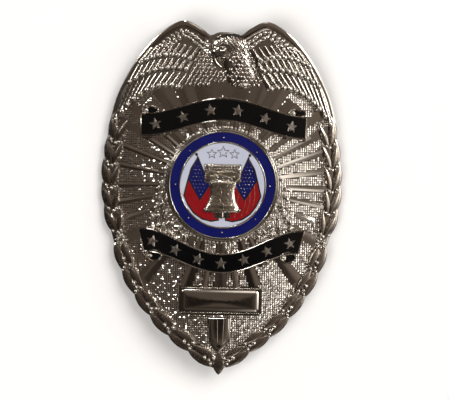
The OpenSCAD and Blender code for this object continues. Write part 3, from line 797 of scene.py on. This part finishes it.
for row, depth in enumerate(COVERT_ROWS):
    edge = side_in(DIP_ROW, TIP_ROW - 1, WING_RIM + depth, 8)
    for distance in np.arange(0.8 + 0.6 * row, travelled(edge)[-1], COVERT_PITCH):
        x, y = point_along(edge, distance)
        if x > 5.0 and y > wing_point(0, 0.5)[1] - 0.9 - 0.14 * max(x - 12, 0):
            for s in (1, -1):
                knob_rows.append((x * s, y, WING_RISE + 0.2, s * chance.uniform(-1.3, -0.5),
                                  chance.uniform(0.75, 1.0), chance.uniform(1.1, 1.6), 0.9))
struck("wing_coverts", bead_tree, marks("coverts", knob_rows), satin_painted_bright, Tilt=0.2, Seed=3)

# The head and breast, cast and plated with the wings: the head in profile with a hooked beak
# and overlapping small feathers on its crown, and rows of bead-like feathers down the breast
# and the shoulder.
GRID = 0.14
# Middle, half width, half height and rise of the crown, neck, breast, cheek and base of the beak
SWELLINGS = [(1.2, 35.3, 4.6, 3.2, 1.65), (2.9, 31.6, 3.5, 4.8, 1.45), (3.8, 28.6, 3.6, 3.2, 1.3),
             (-0.5, 34.0, 2.5, 2.3, 1.7), (-1.9, 33.9, 1.7, 1.7, 1.5)]
SOCKET = (-0.9, 35.1, 1.0, 0.7, 0.4)
PLUME_LONG, PLUME_WIDE, PLUME_RISE = 0.95, 0.8, 0.13


def dome(points, x, y, half_x, half_y, rise, power=2.0):
    """Height of a rounded swelling, none outside it."""
    away = ((points[:, 0] - x) / half_x) ** 2 + ((points[:, 1] - y) / half_y) ** 2
    return rise * np.sqrt(np.clip(1 - away, 0, None)) ** (2 / power)


def head_height(points):
    """Height of the head, neck and breast above the face."""
    high = np.max([dome(points, *row, power=1.5) for row in SWELLINGS], axis=0)
    along = (points[:, 0] + points[:, 1]) / PLUME_LONG
    aside = (points[:, 0] - points[:, 1]) / PLUME_WIDE + np.floor(along) / 2
    scales = (1 - along % 1) * (1 - (2 * (aside % 1) - 1) ** 2)
    crown = np.clip((points[:, 0] + points[:, 1] - 34.2) / 1.2, 0, 1)
    return high - dome(points, *SOCKET) + PLUME_RISE * scales * crown * (high > 0.6)


def relief(low, high, height, floor=-0.6):
    """A closed relief over a rectangle of the face, where height is above nothing."""
    xs, ys = np.arange(low[0], high[0], GRID), np.arange(low[1], high[1], GRID)
    flat = np.array([(x, y) for y in ys for x in xs])
    rise = height(flat)
    keep = rise.reshape(len(ys), len(xs)) > 0.02
    cells = [(j, i) for j in range(len(ys) - 1) for i in range(len(xs) - 1)
             if keep[j:j + 2, i:i + 2].all()]
    used = {}
    verts, faces, edges = [], [], {}
    for j, i in cells:
        corners = [j * len(xs) + i, j * len(xs) + i + 1, (j + 1) * len(xs) + i + 1,
                   (j + 1) * len(xs) + i]
        for c in corners:
            if c not in used:
                used[c] = len(verts)
                verts += [(*flat[c], rise[c]), (*flat[c], floor)]
        ring = [used[c] for c in corners]
        faces += [ring, [c + 1 for c in ring][::-1]]
        for a, b in zip(ring, ring[1:] + ring[:1]):
            if (b, a) in edges:
                del edges[(b, a)]
            else:
                edges[(a, b)] = True
    faces += [(b, a, a + 1, b + 1) for a, b in edges]
    return np.array(verts), faces


def roll(width, low, high, base, steps=7):
    """Half-round profile on straight sides, from low up to high."""
    turn = np.linspace(0, math.pi, steps)
    arch = [(width / 2 * math.cos(a), high - (high - base) * (1 - math.sin(a))) for a in turn]
    return [(width / 2, low)] + arch + [(-width / 2, low)]


beak_path = smooth([(-1.4, 34.7), (-2.4, 33.7), (-2.6, 32.5), (-1.9, 31.3), (-0.8, 30.5)], 0, 4, 5)
beak = moulding(beak_path, roll(1.7, -0.5, 1.6, 0.3, 9),
                taper=np.linspace(1, 0.2, len(beak_path)) ** 0.8)
mouth = moulding(smooth([(-1.6, 32.6), (-0.4, 32.7), (0.6, 33.2)], 0, 2, 5),
                 roll(0.4, 0.2, 1.75, 1.4))
brow = moulding(smooth([(-2.0, 35.3), (-0.9, 35.9), (0.6, 35.7)], 0, 2, 5),
                roll(0.55, 0.6, 1.95, 1.5))
cast("eagle_head", [relief((-3.8, 25.2), (7.6, 38.7), head_height), beak, mouth, brow], nickel,
     crease=60)
breast_loop = np.array([(4.0, 37.0), (2.6, 35.2), (1.5, 33.2), (0.9, 31.2), (1.4, 29.6),
                        (0.9, 28.2), (2.4, 26.0), (8.6, 25.8), (9.0, 27.6), (7.2, 30.4),
                        (6.4, 33.4), (5.4, 35.6)])
shoulder_loop = np.array([(-6.4, 34.6), (-4.6, 34.6), (-3.4, 32.6), (-2.8, 30.6), (-1.6, 29.6),
                          (0.4, 29.4), (0.7, 27.6), (-0.8, 26.9), (-3.3, 26.4), (-9.8, 25.6),
                          (-8.4, 28.0), (-7.4, 31.0)])
ruff_rows = []
for j, y in enumerate(np.arange(25.6, 37.6, 0.9)):
    for x in np.arange(-9.6, 9.4, 1.05) + 0.52 * (j % 2):
        point = np.array([(x, y)])
        if inside(point, breast_loop)[0]:
            ruff_rows.append((x + chance.uniform(-0.2, 0.2), y + chance.uniform(-0.1, 0.1),
                              max(head_height(point)[0], 0.35) - 0.1, chance.uniform(-0.9, 0.9),
                              chance.uniform(0.55, 1.0), chance.uniform(0.8, 1.4), 0.6))
        elif inside(point, shoulder_loop)[0]:
            ruff_rows.append((x, y, 0.55, chance.uniform(-0.75, -0.45),
                              chance.uniform(0.5, 0.65), chance.uniform(1.3, 1.8), 0.7))
ruff_rows += [(x, y, h, turn, 0.7, 0.95, 0.5) for x, y, h, turn in (
    (-1.7, 36.5, 1.2, 0.6), (-0.3, 37.1, 1.35, 0.3), (1.5, 37.4, 1.25, 0.0), (0.8, 36.5, 1.6, 0.8))]
struck("neck_feathers", bead_tree, marks("ruff", ruff_rows), nickel, Tilt=0.2, Seed=9)
struck("eagle_eye", bead_tree, marks("eye", [(*SOCKET[:2], 1.4, 0, 0.7, 0.7, 0.5)]), nickel,
       Rounds=3)

# The ribbons, cast with the plate: a raised band with a rolled edge round a sunk ground, and
# an open curl with a ball at each end. The ground is filled with black enamel that is stoned
# flush, a black slab in each curl's hollow is painted shade, and stars of satin nickel, painted
# brighter than the plating, stand in the ground.
RIBBON_RISE, RIBBON_RIM, ENAMEL, STAR, STAR_WAIST = 1.3, 0.35, 0.5, 1.45, 0.45
# Middle of the right curl, and its half width and half height
UPPER_CURL, LOWER_CURL = (17.2, 20.2, 1.9, 0.8), (15.7, -13.6, 1.8, 1.25)
CURL_RIM, STAR_REACH = 0.62, 0.82


def star(tree, given):
    """A five-pointed star: upright sides up to height 0, then a narrow chamfer and a low peak."""
    cone = node(tree, "GeometryNodeMeshCone",
                {"Vertices": 10, "Side Segments": 3, "Radius Top": 0.0, "Radius Bottom": 1.0,
                 "Depth": 1.0})
    x, y, z = position(tree)
    point = (y.step("ARCTAN2", x) * 5.0).step("COSINE").step("GREATER_THAN", 0.0)
    ring = (x * x + y * y) ** 0.5
    middle, foot = ring.step("GREATER_THAN", 0.5), ring.step("GREATER_THAN", 0.9)
    share = ((point * (1 - given["Waist"]) + given["Waist"])
             * (1 - (1 - middle) * (1 - given["Top"])) / ring.step("MAXIMUM", 0.001))
    rise = (1 - middle) * given["Chamfer"] + (1 - ring.step("GREATER_THAN", 0.1)) * given["Peak"]
    return moved_to(tree, cone.outputs[0], y * share * -1.0, x * share, rise - foot)


star_tree = relief_tree("Stars", star, Waist=STAR_WAIST, Top=0.82, Chamfer=0.14, Peak=0.03)
ribbon_parts, star_rows, curls, curl_shade_fills = [], [], [], []
for ribbon, stars, curl in ((UPPER, 6, UPPER_CURL), (LOWER, 7, LOWER_CURL)):
    loop = ribbon_loop(ribbon)
    ribbon_parts.append(slab(inset(loop, 0.1), [(0, -0.8), (0, RIBBON_RISE - ENAMEL)]))
    ribbon_parts.append(moulding(inset(loop, RIBBON_RIM / 2 - 0.04),
                                 roll(RIBBON_RIM + 0.08, -0.8, RIBBON_RISE + 0.16, 1.1),
                                 closed=True))
    for i in range(stars):
        x = ribbon[0] * STAR_REACH * (2 * i / (stars - 1) - 1)
        slope = math.atan(-ribbon[2] * math.pi / (2 * ribbon[0])
                          * math.sin(math.pi * x / ribbon[0]))
        star_rows.append((x, float(ribbon_mid(ribbon, x)), RIBBON_RISE + 0.02, slope,
                          STAR, STAR, 0.8))
    for s in (-1, 1):
        x, y, half_x, half_y = curl
        turn = np.linspace(0, 2 * math.pi, 24, endpoint=False)
        path = np.column_stack([x * s + half_x * np.cos(turn), y + half_y * np.sin(turn)])
        ribbon_parts.append(moulding(path, roll(CURL_RIM, -0.6, RIBBON_RISE + 0.12, 0.7),
                                     closed=True))
        curl_shade_fills.append(slab(path, [(0, 0.3), (0, 0.75)]))
        curls.append((x * s - half_x * 0.5, y - half_y * 0.1, 0.8, 0, 1.2, 1.1, 1.1))
cast("ribbon_bands", ribbon_parts, nickel, crease=40)
struck("ribbon_curls", bead_tree, marks("curls", curls), satin_painted_bright, Rounds=3)
struck("ribbon_stars", star_tree, marks("stars", star_rows), satin_painted_bright, crease=20)


def enamelled(name, deep, light, waves=0.000012, size=260.0, rough=0.06, coat=0.3):
    """Glossy stoned and polished enamel: faint clouds of colour and a barely wavy surface."""
    made, shader, _ = surfaced(name, waves, Size=size, Bright=(*light, 1), Dull=(*deep, 1))
    for key, value in (("Roughness", rough), ("IOR", 1.46), ("Coat Weight", coat),
                       ("Coat Roughness", 0.03)):
        shader.inputs[key].default_value = value
    return made


def refinish(names, material):
    """Gives solids that stay as they are their own enamel or metal."""
    for name in names:
        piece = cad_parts[name]
        piece.data.materials.clear()
        piece.data.materials.append(material)


black = enamelled("Black enamel", (0.0012, 0.0012, 0.0014), (0.003, 0.003, 0.0033), coat=0.0)
refinish(["upper_ribbon_enamel", "lower_ribbon_enamel"], black)
# Painted shade: a black slab in each curl's hollow stands for the shade of a deep hollow.
cast("curl_enamel", curl_shade_fills, black)

# The number panel: a polished pillow between two thin strips of beads, and under it a broad
# ray with two thin ribs that runs down to the leaf at the point, all cast with the plate.
STRIP_WIDE, STRIP_AWAY, BEADS_AWAY, BEADS_PITCH = 0.75, 2.95, 2.9, 0.44
# Inset and height of the panel's pillow
PILLOW = [(0, -0.5), (0, 0.96), (0.08, 1.02), (0.7, 1.22), (0.78, 1.23)]
panel_loop = rounded(PANEL_W, PANEL_H, 0.8, (0, -PANEL_Y))
panel_parts = [
    *[slab(rounded(PANEL_W - 0.4, STRIP_WIDE, 0.3, (0, -PANEL_Y + s * STRIP_AWAY)),
           [(0, -0.8), (0, 0.3)]) for s in (1, -1)],
    slab(panel_loop, PILLOW),
    slab(foot_loop, [(0, -0.5), (0, 0.45), (0.2, 0.6)]),
]
panel_parts.append(moulding([(0, -28.1), (0, -30), (0, -32.5), (0, -34), (0, -35.2)],
                            roll(4.6, 0.3, 0.95, 0.55, 13), taper=[1, 1, 0.95, 0.7, 0.35]))
for x in (-0.55, 0.95):
    panel_parts.append(moulding([(x, -28.3), (x * 0.8, -33.6)], roll(0.3, 0.5, 1.02, 0.85, 5)))
cast("number_panel", panel_parts, nickel, crease=40)
panel_beads = [(x, y, 0.38, 0, 0.42, 0.42, 0.4)
               for y in (-PANEL_Y - BEADS_AWAY, -PANEL_Y + BEADS_AWAY)
               for x in np.arange(-9.0, 9.1, BEADS_PITCH)]
struck("panel_beads", bead_tree, marks("panel beads", panel_beads), nickel)

# The seal: a separate round disc of plated brass dropped in a seat on the face. Thin metal
# edges and lines hold the enamels, the lines in a metal painted dark as shade, and a bell
# stands in the middle in front of the flags.
EDGE, LINE, BAND, SEAL_TOP = 0.35, 0.25, 2.1, 7.45
FIELD = SEAL_RADIUS - 2 * EDGE - BAND
# The right flag, its canton's lower edge, and the stars' places and sizes, as shares of the field
FLAG = [(0.60, 0.62), (0.42, 0.20), (0.20, 0.10), (0.10, -0.40), (0.10, -0.82), (0.25, -0.85),
        (0.47, -0.80), (0.66, -0.67), (0.80, -0.48), (0.90, -0.26), (0.82, 0.08), (0.74, 0.38)]
CANTON_EDGE = [(0.81, 0.12), (0.53, -0.36), (0.33, -0.05)]
FIELD_STARS = [(0, 0.78, 0.145), (-0.27, 0.735, 0.12), (0.27, 0.735, 0.12)]
seal_nickel = plated("Seal nickel", (0.70, 0.67, 0.62), (0.60, 0.57, 0.52), 0.1, 0.2)


def on_seal(points):
    """Points round the seal's middle, in shares of the field, brought to the badge."""
    return np.array(points, float) * FIELD + (0, SEAL_Y)


def star_loop(radius, x, y):
    """A star's outline on the seal, where its radius and place are shares of the field."""
    corners = [(radius * FIELD * (1, STAR_WAIST)[i % 2], math.pi / 5 * i) for i in range(10)]
    outline = [(r * -math.sin(turn), r * math.cos(turn)) for r, turn in corners]
    return np.array(outline) + (x * FIELD, SEAL_Y + y * FIELD)


def raised(parts):
    """Lifts solids drawn with the enamel's surface at height 0 to the seal's face."""
    return [(np.array(verts) + (0, 0, SEAL_TOP), faces) for verts, faces in parts]


ring = roll(EDGE, -0.6, 0.08, -0.06)
seal_parts = [slab(circle(SEAL_RADIUS, 96), [(0.05, -1.4), (0, -1.3), (0, -ENAMEL)], 3),
              moulding(circle(SEAL_RADIUS - EDGE / 2, 96), ring, closed=True),
              moulding(circle(FIELD + EDGE / 2, 96), ring, closed=True),
              moulding(circle(SEAT_RADIUS - 0.2, 96), roll(0.45, -1.6, -0.3, -0.6),
                       closed=True)]
cast("seal_metal", raised(seal_parts), seal_nickel, ["seal_disc"], flat=True,
     crease=40)
thread, line_parts = roll(LINE * 0.8, -0.5, 0.05, -0.02, 5), []
for s in (1, -1):
    line_parts.append(moulding(inset(on_seal(FLAG), -LINE / 2) * (s, 1), thread, closed=True))
    line_parts.append(moulding(on_seal(CANTON_EDGE) * (s, 1), thread))
    pole = on_seal([(0.60, 0.60), (0.625, 0.70)]) * (s, 1)
    line_parts.append(moulding(pole, roll(0.2, -0.3, 0.06, -0.02, 5)))
    line_parts.append(slab(circle(0.34, 16, on_seal([(0.632, 0.715)])[0] * (s, 1)),
                           [(0, -0.4), (0, 0.06), (0.12, 0.2)]))
for x, y, r in FIELD_STARS:
    line_parts.append(moulding(inset(star_loop(r, x, y), 0.06), roll(0.14, -0.45, 0.05, -0.02, 5),
                               closed=True))
# Painted shade: the outlines of the flags, poles and stars get a dark metal that stands for the
# shade along them, not a colour of their own.
shade_painted_line_metal = plated("Darkened line", (0.20, 0.16, 0.13), (0.10, 0.08, 0.07), 0.15, 0.3)
cast("seal_lines", raised(line_parts), shade_painted_line_metal, flat=True, crease=40)
# Thin lines down the folds of the right flag
HEMS = ([(0.40, -0.17), (0.35, -0.42), (0.30, -0.78)],
        [(0.55, -0.33), (0.53, -0.50), (0.46, -0.74)],
        [(0.65, -0.16), (0.65, -0.40), (0.58, -0.66)],
        [(0.75, 0.00), (0.77, -0.25), (0.72, -0.50)])
hem_lines = [moulding(smooth(on_seal(path), 0, 2, 5), roll(0.13, -0.3, 0.05, -0.02, 5))
             for path in HEMS]
copper = plated("Copper line", (0.75, 0.42, 0.28), (0.6, 0.3, 0.2), 0.15, 0.3)
cast("flag_stripes", raised(hem_lines), copper, flat=True, crease=40)

white = enamelled("White enamel", (0.40, 0.42, 0.51), (0.49, 0.51, 0.61), rough=0.12)
navy = enamelled("Navy enamel", (0.003, 0.004, 0.055), (0.007, 0.010, 0.11))
blue = enamelled("Canton enamel", (0.004, 0.005, 0.06), (0.009, 0.011, 0.095))
red = enamelled("Red enamel", (0.165, 0.004, 0.006), (0.25, 0.009, 0.013))
refinish(["seal_field_enamel"], white)
refinish(["seal_ring_enamel"], navy)
refinish(["canton_left", "canton_right"], blue)
refinish(["stripes_left", "stripes_right"], red)
star_fill = [slab(inset(star_loop(r, x, y), 0.08),
                  [(0, -0.45), (0, 0)], 0.6) for x, y, r in FIELD_STARS]
cast("star_enamel", raised(star_fill), white, flat=True)

# The bell: cast in relief and soldered on the disc, with a broad yoke above, beaded at its
# sides, a knobbly shoulder, a thin crack, rolled lips and a clapper.
BELL_RISE, BELL_LIFT = 0.814, 0.1
# Height, half width and share of the rise down the bell, from its crown to its lip
BELL_ROWS = [(0.16, 0.26, 0.3), (0.12, 0.31, 0.8), (0.06, 0.33, 1.0), (0.03, 0.33, 1.12),
             (0.0, 0.325, 1.0), (-0.10, 0.295, 0.98), (-0.2, 0.29, 0.98), (-0.3, 0.30, 1.0),
             (-0.38, 0.325, 1.03), (-0.46, 0.36, 1.06), (-0.49, 0.375, 1.15), (-0.52, 0.385, 1.06),
             (-0.58, 0.42, 1.1), (-0.61, 0.435, 1.15), (-0.64, 0.42, 1.0), (-0.66, 0.38, 0.5)]
# Path, width and height of the yoke's two folds, the crack and the clapper
BELL_LINES = [([(-0.33, 0.35), (-0.12, 0.30), (0.1, 0.33), (0.33, 0.29)], 0.5, 0.95),
              ([(-0.3, 0.20), (-0.08, 0.24), (0.14, 0.19), (0.3, 0.21)], 0.45, 0.9),
              ([(-0.05, -0.06), (-0.02, -0.2), (-0.06, -0.34), (0.03, -0.46), (0.02, -0.56)],
               0.16, 1.03),
              ([(0.0, -0.62), (0.0, -0.77)], 0.62, 0.75)]


def bell_relief():
    """The bell's body: a half-round of changing width, with mouldings round it."""
    columns = np.linspace(0, np.pi, 19)
    verts, count = [], len(columns) + 2
    for y, half, share in BELL_ROWS:
        for a in columns:
            verts.append((half * FIELD * math.cos(a), SEAL_Y + y * FIELD,
                          BELL_LIFT + BELL_RISE * share * math.sin(a)))
        verts += [(s * half * FIELD, SEAL_Y + y * FIELD, -0.5) for s in (-1, 1)]
    last = (len(BELL_ROWS) - 1) * count
    ends = [list(range(count)), [last + j for j in range(count)]]
    return np.array(verts), walls(len(BELL_ROWS), count) + ends


yoke = on_seal([(-0.40, 0.12), (-0.30, 0.06), (0.30, 0.06), (0.40, 0.12), (0.43, 0.20),
                (0.43, 0.46), (0.40, 0.49), (-0.40, 0.49), (-0.43, 0.46), (-0.43, 0.20)])
bell_parts = [bell_relief(), slab(yoke, [(0, -0.5), (0, 0.45), (0.18, 0.62)], 0.8)]
for path, width, high in BELL_LINES:
    line = smooth(on_seal(path), 0, len(path) - 1, 5)
    bell_parts.append(moulding(line, roll(width, -0.3, high, high * 0.6)))
bell_metal = plated("Bell nickel", (0.86, 0.80, 0.70), (0.66, 0.60, 0.50), 0.12, 0.3, 330.0,
                    0.00012)
cast("bell", raised(bell_parts), bell_metal, flat=True, crease=50)

# Small nickel-plated beads raised on the seal's disc and bell: rows on the blue cantons, beading
# and knobs on the yoke, the bell's shoulder and its lips, and eight studs in the blue ring.
flat_beads = relief_tree("Seal beads", bead, bowed=False, Rounds=2)
# Spacing of the cantons' dots, where their first row and column are, and the canton's lower edge
DOT_ACROSS, DOT_DOWN, DOT_IN, DOT_TOP = 0.075, 0.085, 0.36, 0.44
DOT_FLOOR = ([0.20, 0.33, 0.53, 0.81, 0.95], [0.20, -0.05, -0.36, 0.12, 0.40])
STUD_RING = 1.125
# Across, up, height above the enamel and diameter of each bead
dots = []
for s in (1, -1):
    for j in range(9):
        for i in range(7):
            u, w = (i + 0.5 * (j % 2)) * DOT_ACROSS + DOT_IN, DOT_TOP - j * DOT_DOWN
            on_flag = inside(np.array([[u, w]]), inset(np.array(FLAG), 0.035))[0]
            if on_flag and w > np.interp(u, *DOT_FLOOR) + 0.06:
                dots.append((s * u, w, 0.0, 0.26))
dots += [(s * 0.405, w, 0.62, 0.3) for s in (1, -1) for w in np.arange(0.16, 0.47, 0.052)]
dots += [(0.27 * math.sin(a), 0.05 + 0.08 * math.cos(a), 0.85, 0.5)
         for a in np.linspace(-1.5, 1.5, 7)]
dots += [(0.20 * math.sin(a), 0.13 + 0.06 * math.cos(a), 0.75, 0.62)
         for a in np.linspace(-1.4, 1.4, 5)]
dots += [(u, w, 0.65, 0.42) for w in (0.44, 0.39) for u in np.linspace(-0.34, 0.34, 11)]
dots += [(s * 0.40, -0.585, 0.4, 0.9) for s in (1, -1)] + [(0, -0.76, 0.35, 0.8)]
dots += [(STUD_RING * math.sin(a), STUD_RING * math.cos(a), 0.0, 0.42)
         for a in np.radians(np.arange(0, 360, 45))]
bead_marks = [(*on_seal([(u, w)])[0], h + SEAL_TOP, 0, d, d, d * 0.8) for u, w, h, d in dots]
struck("seal_beads", flat_beads, marks("seal beads", bead_marks), seal_nickel)

# The pin clasp: a plain nickel-plated steel foot, pin, knuckle and catch, soldered down the
# middle of the hollow back. It keeps its solid.
steel = plated("Clasp steel", (0.60, 0.58, 0.55), (0.48, 0.46, 0.44), 0.18, 0.34, 700.0)
refinish(["pin_clasp"], steel)

# The badge lies face up on a plain pale table in a small tent of soft light. The photograph
# looks straight down on it, and the badge leans a little to the right in the picture.
TABLE, MUTED = 2, 0.98
floor_mesh = bpy.data.meshes.new("table")
corners = [(-TABLE, -TABLE, 0), (TABLE, -TABLE, 0), (TABLE, TABLE, 0), (-TABLE, TABLE, 0)]
floor_mesh.from_pydata(corners, [], [(0, 1, 2, 3)])
table = linked("table", floor_mesh)
paper = bpy.data.materials.new("Pale table")
paper.use_nodes = True
paper_tree = paper.node_tree
mottle = node(paper_tree, "ShaderNodeTexNoise",
              {"Vector": node(paper_tree, "ShaderNodeTexCoord").outputs["Object"], "Scale": 9.0})
tone = node(paper_tree, "ShaderNodeMapRange",
            {"Value": mottle.outputs["Fac"], "To Min": 0.88, "To Max": 0.90})
# The metal mirrors a much darker table than the one in view, as under a small tent
seen = node(paper_tree, "ShaderNodeLightPath").outputs["Is Glossy Ray"]
dulled = Reading(paper_tree, tone.outputs[0]) * (1 - Reading(paper_tree, seen) * MUTED)
wire(paper_tree, paper_tree.nodes["Principled BSDF"].inputs["Base Color"], dulled)
paper_tree.nodes["Principled BSDF"].inputs["Roughness"].default_value = 0.8
table.data.materials.append(paper)

world = bpy.data.worlds.new("Tent")
bpy.context.scene.world = world
world.use_nodes = True
sky = world.node_tree
aim = node(sky, "ShaderNodeSeparateXYZ",
           {0: node(sky, "ShaderNodeTexCoord").outputs["Generated"]})
to_right, to_top, up = (Reading(sky, out) for out in aim.outputs)

CARD_TONE = (1, 0.79, 0.64)
# Azimuth clockwise from the badge's top, elevation, tightness and strength of each soft glow
GLOWS = [(84, 20, 40, 5.0), (18, 50, 90, 1.8), (-58, 24, 60, 2.6), (150, 38, 60, 1.8)]


def bearing(azimuth, elevation):
    """Unit vector to an azimuth and an elevation."""
    a, e = math.radians(azimuth), math.radians(elevation)
    return Vector((math.sin(a) * math.cos(e), math.cos(a) * math.cos(e), math.sin(e)))


def wall(name, stops):
    """Brightness of one side of the tent, from the table's edge to straight overhead."""
    made = node(sky, "ShaderNodeValToRGB", {"Fac": up}, name=name)
    made.color_ramp.elements.remove(made.color_ramp.elements[1])
    for i, (place, level) in enumerate(stops):
        stop = made.color_ramp.elements[0] if i == 0 else made.color_ramp.elements.new(place)
        stop.position, stop.color = place, (*(level * part for part in CARD_TONE), 1)
    return made


dark_wall = wall("Left wall", ((0.0, 0.008), (0.25, 0.014), (0.6, 0.03), (0.85, 0.06),
                               (1.0, 0.12)))
pale_wall = wall("Right wall", ((0.0, 0.02), (0.25, 0.08), (0.6, 0.18), (0.85, 0.2),
                                (1.0, 0.12)))
tent = node(sky, "ShaderNodeMix", {0: to_right * 0.7 + to_top * 0.45 + 0.5}, data_type="RGBA")
wire(sky, tent.inputs[6], dark_wall.outputs["Color"])
wire(sky, tent.inputs[7], pale_wall.outputs["Color"])
card = node(sky, "ShaderNodeMapRange", {"Value": to_top, "From Min": -0.07, "From Max": 0.03,
                                        "To Min": 0.15, "To Max": 1.0})
overhead = ((up - 0.90) / 0.08).step("MAXIMUM", 0.0).step("MINIMUM", 1.0)
shade = 1 - overhead * (1 - Reading(sky, card.outputs[0]))
dimmed = node(sky, "ShaderNodeVectorMath", {0: tent.outputs[2]}, operation="SCALE")
wire(sky, dimmed.inputs["Scale"], shade)
lit = dimmed.outputs[0]
for azimuth, elevation, spread, strength in GLOWS:
    x, y, z = bearing(azimuth, elevation)
    near = to_right * x + to_top * y + up * z
    glow = (near ** float(spread)) * strength
    pane = node(sky, "ShaderNodeCombineXYZ", {0: glow, 1: glow * 0.96, 2: glow * 0.9})
    lit = node(sky, "ShaderNodeVectorMath", {0: lit, 1: pane.outputs[0]},
               operation="ADD").outputs[0]
wire(sky, sky.nodes["Background"].inputs["Color"], lit)

LAMP_TINT, LAMP_AWAY = (1, 0.985, 0.97), 0.9
# Azimuth, elevation, size and power, and whether the lamp shows in the metal
LAMPS = [("Broad box right", 50, 55, 0.6, 5.6, False),
         ("Broad box left", -120, 55, 0.6, 4.8, False),
         ("Window", 66, 33, 0.2, 2.6, True), ("Far lamp", -12, 36, 0.12, 1.1, True),
         ("Left lamp", -60, 26, 0.14, 1.5, True)]


def soft_box(name, azimuth, elevation, size, power, in_metal):
    """A square light; one kind lights the table and enamel, the other shows in the metal."""
    light = bpy.data.lights.new(name, "AREA")
    light.shape, light.size = "SQUARE", size
    light.energy, light.color = power, LAMP_TINT
    lamp = linked(name, light)
    lamp.visible_glossy, lamp.visible_diffuse = in_metal, not in_metal
    way = bearing(azimuth, elevation)
    lamp.location = way * LAMP_AWAY
    lamp.rotation_euler = way.to_track_quat("Z", "Y").to_euler()


for row in LAMPS:
    soft_box(*row)

# The camera: a long lens almost straight above, so that one pixel of the 450 by 400 picture
# is PIXEL metres of the badge, turned by the badge's lean.
PIXEL, PICTURE = 0.0002344, (450, 400)
LEAN, SENSOR = 0.0209, 36
lens_way = Vector((-0.035, 0.03, 1)).normalized()
distance = 0.45
camera = bpy.data.cameras.new("Camera")
camera.sensor_width = SENSOR
camera.lens = SENSOR * distance / (PICTURE[0] * PIXEL)
eye = linked("Camera", camera)
target = Vector((0.00076, -0.00045, 0.004))
eye.location = target + lens_way * distance
across = Vector((1, LEAN, 0)).normalized()
upward = lens_way.cross(across).normalized()
across = upward.cross(lens_way).normalized()
eye.rotation_euler = Matrix((across, upward, lens_way)).transposed().to_euler()
bpy.context.scene.camera = eye
bpy.context.scene.view_settings.view_transform = "Standard"
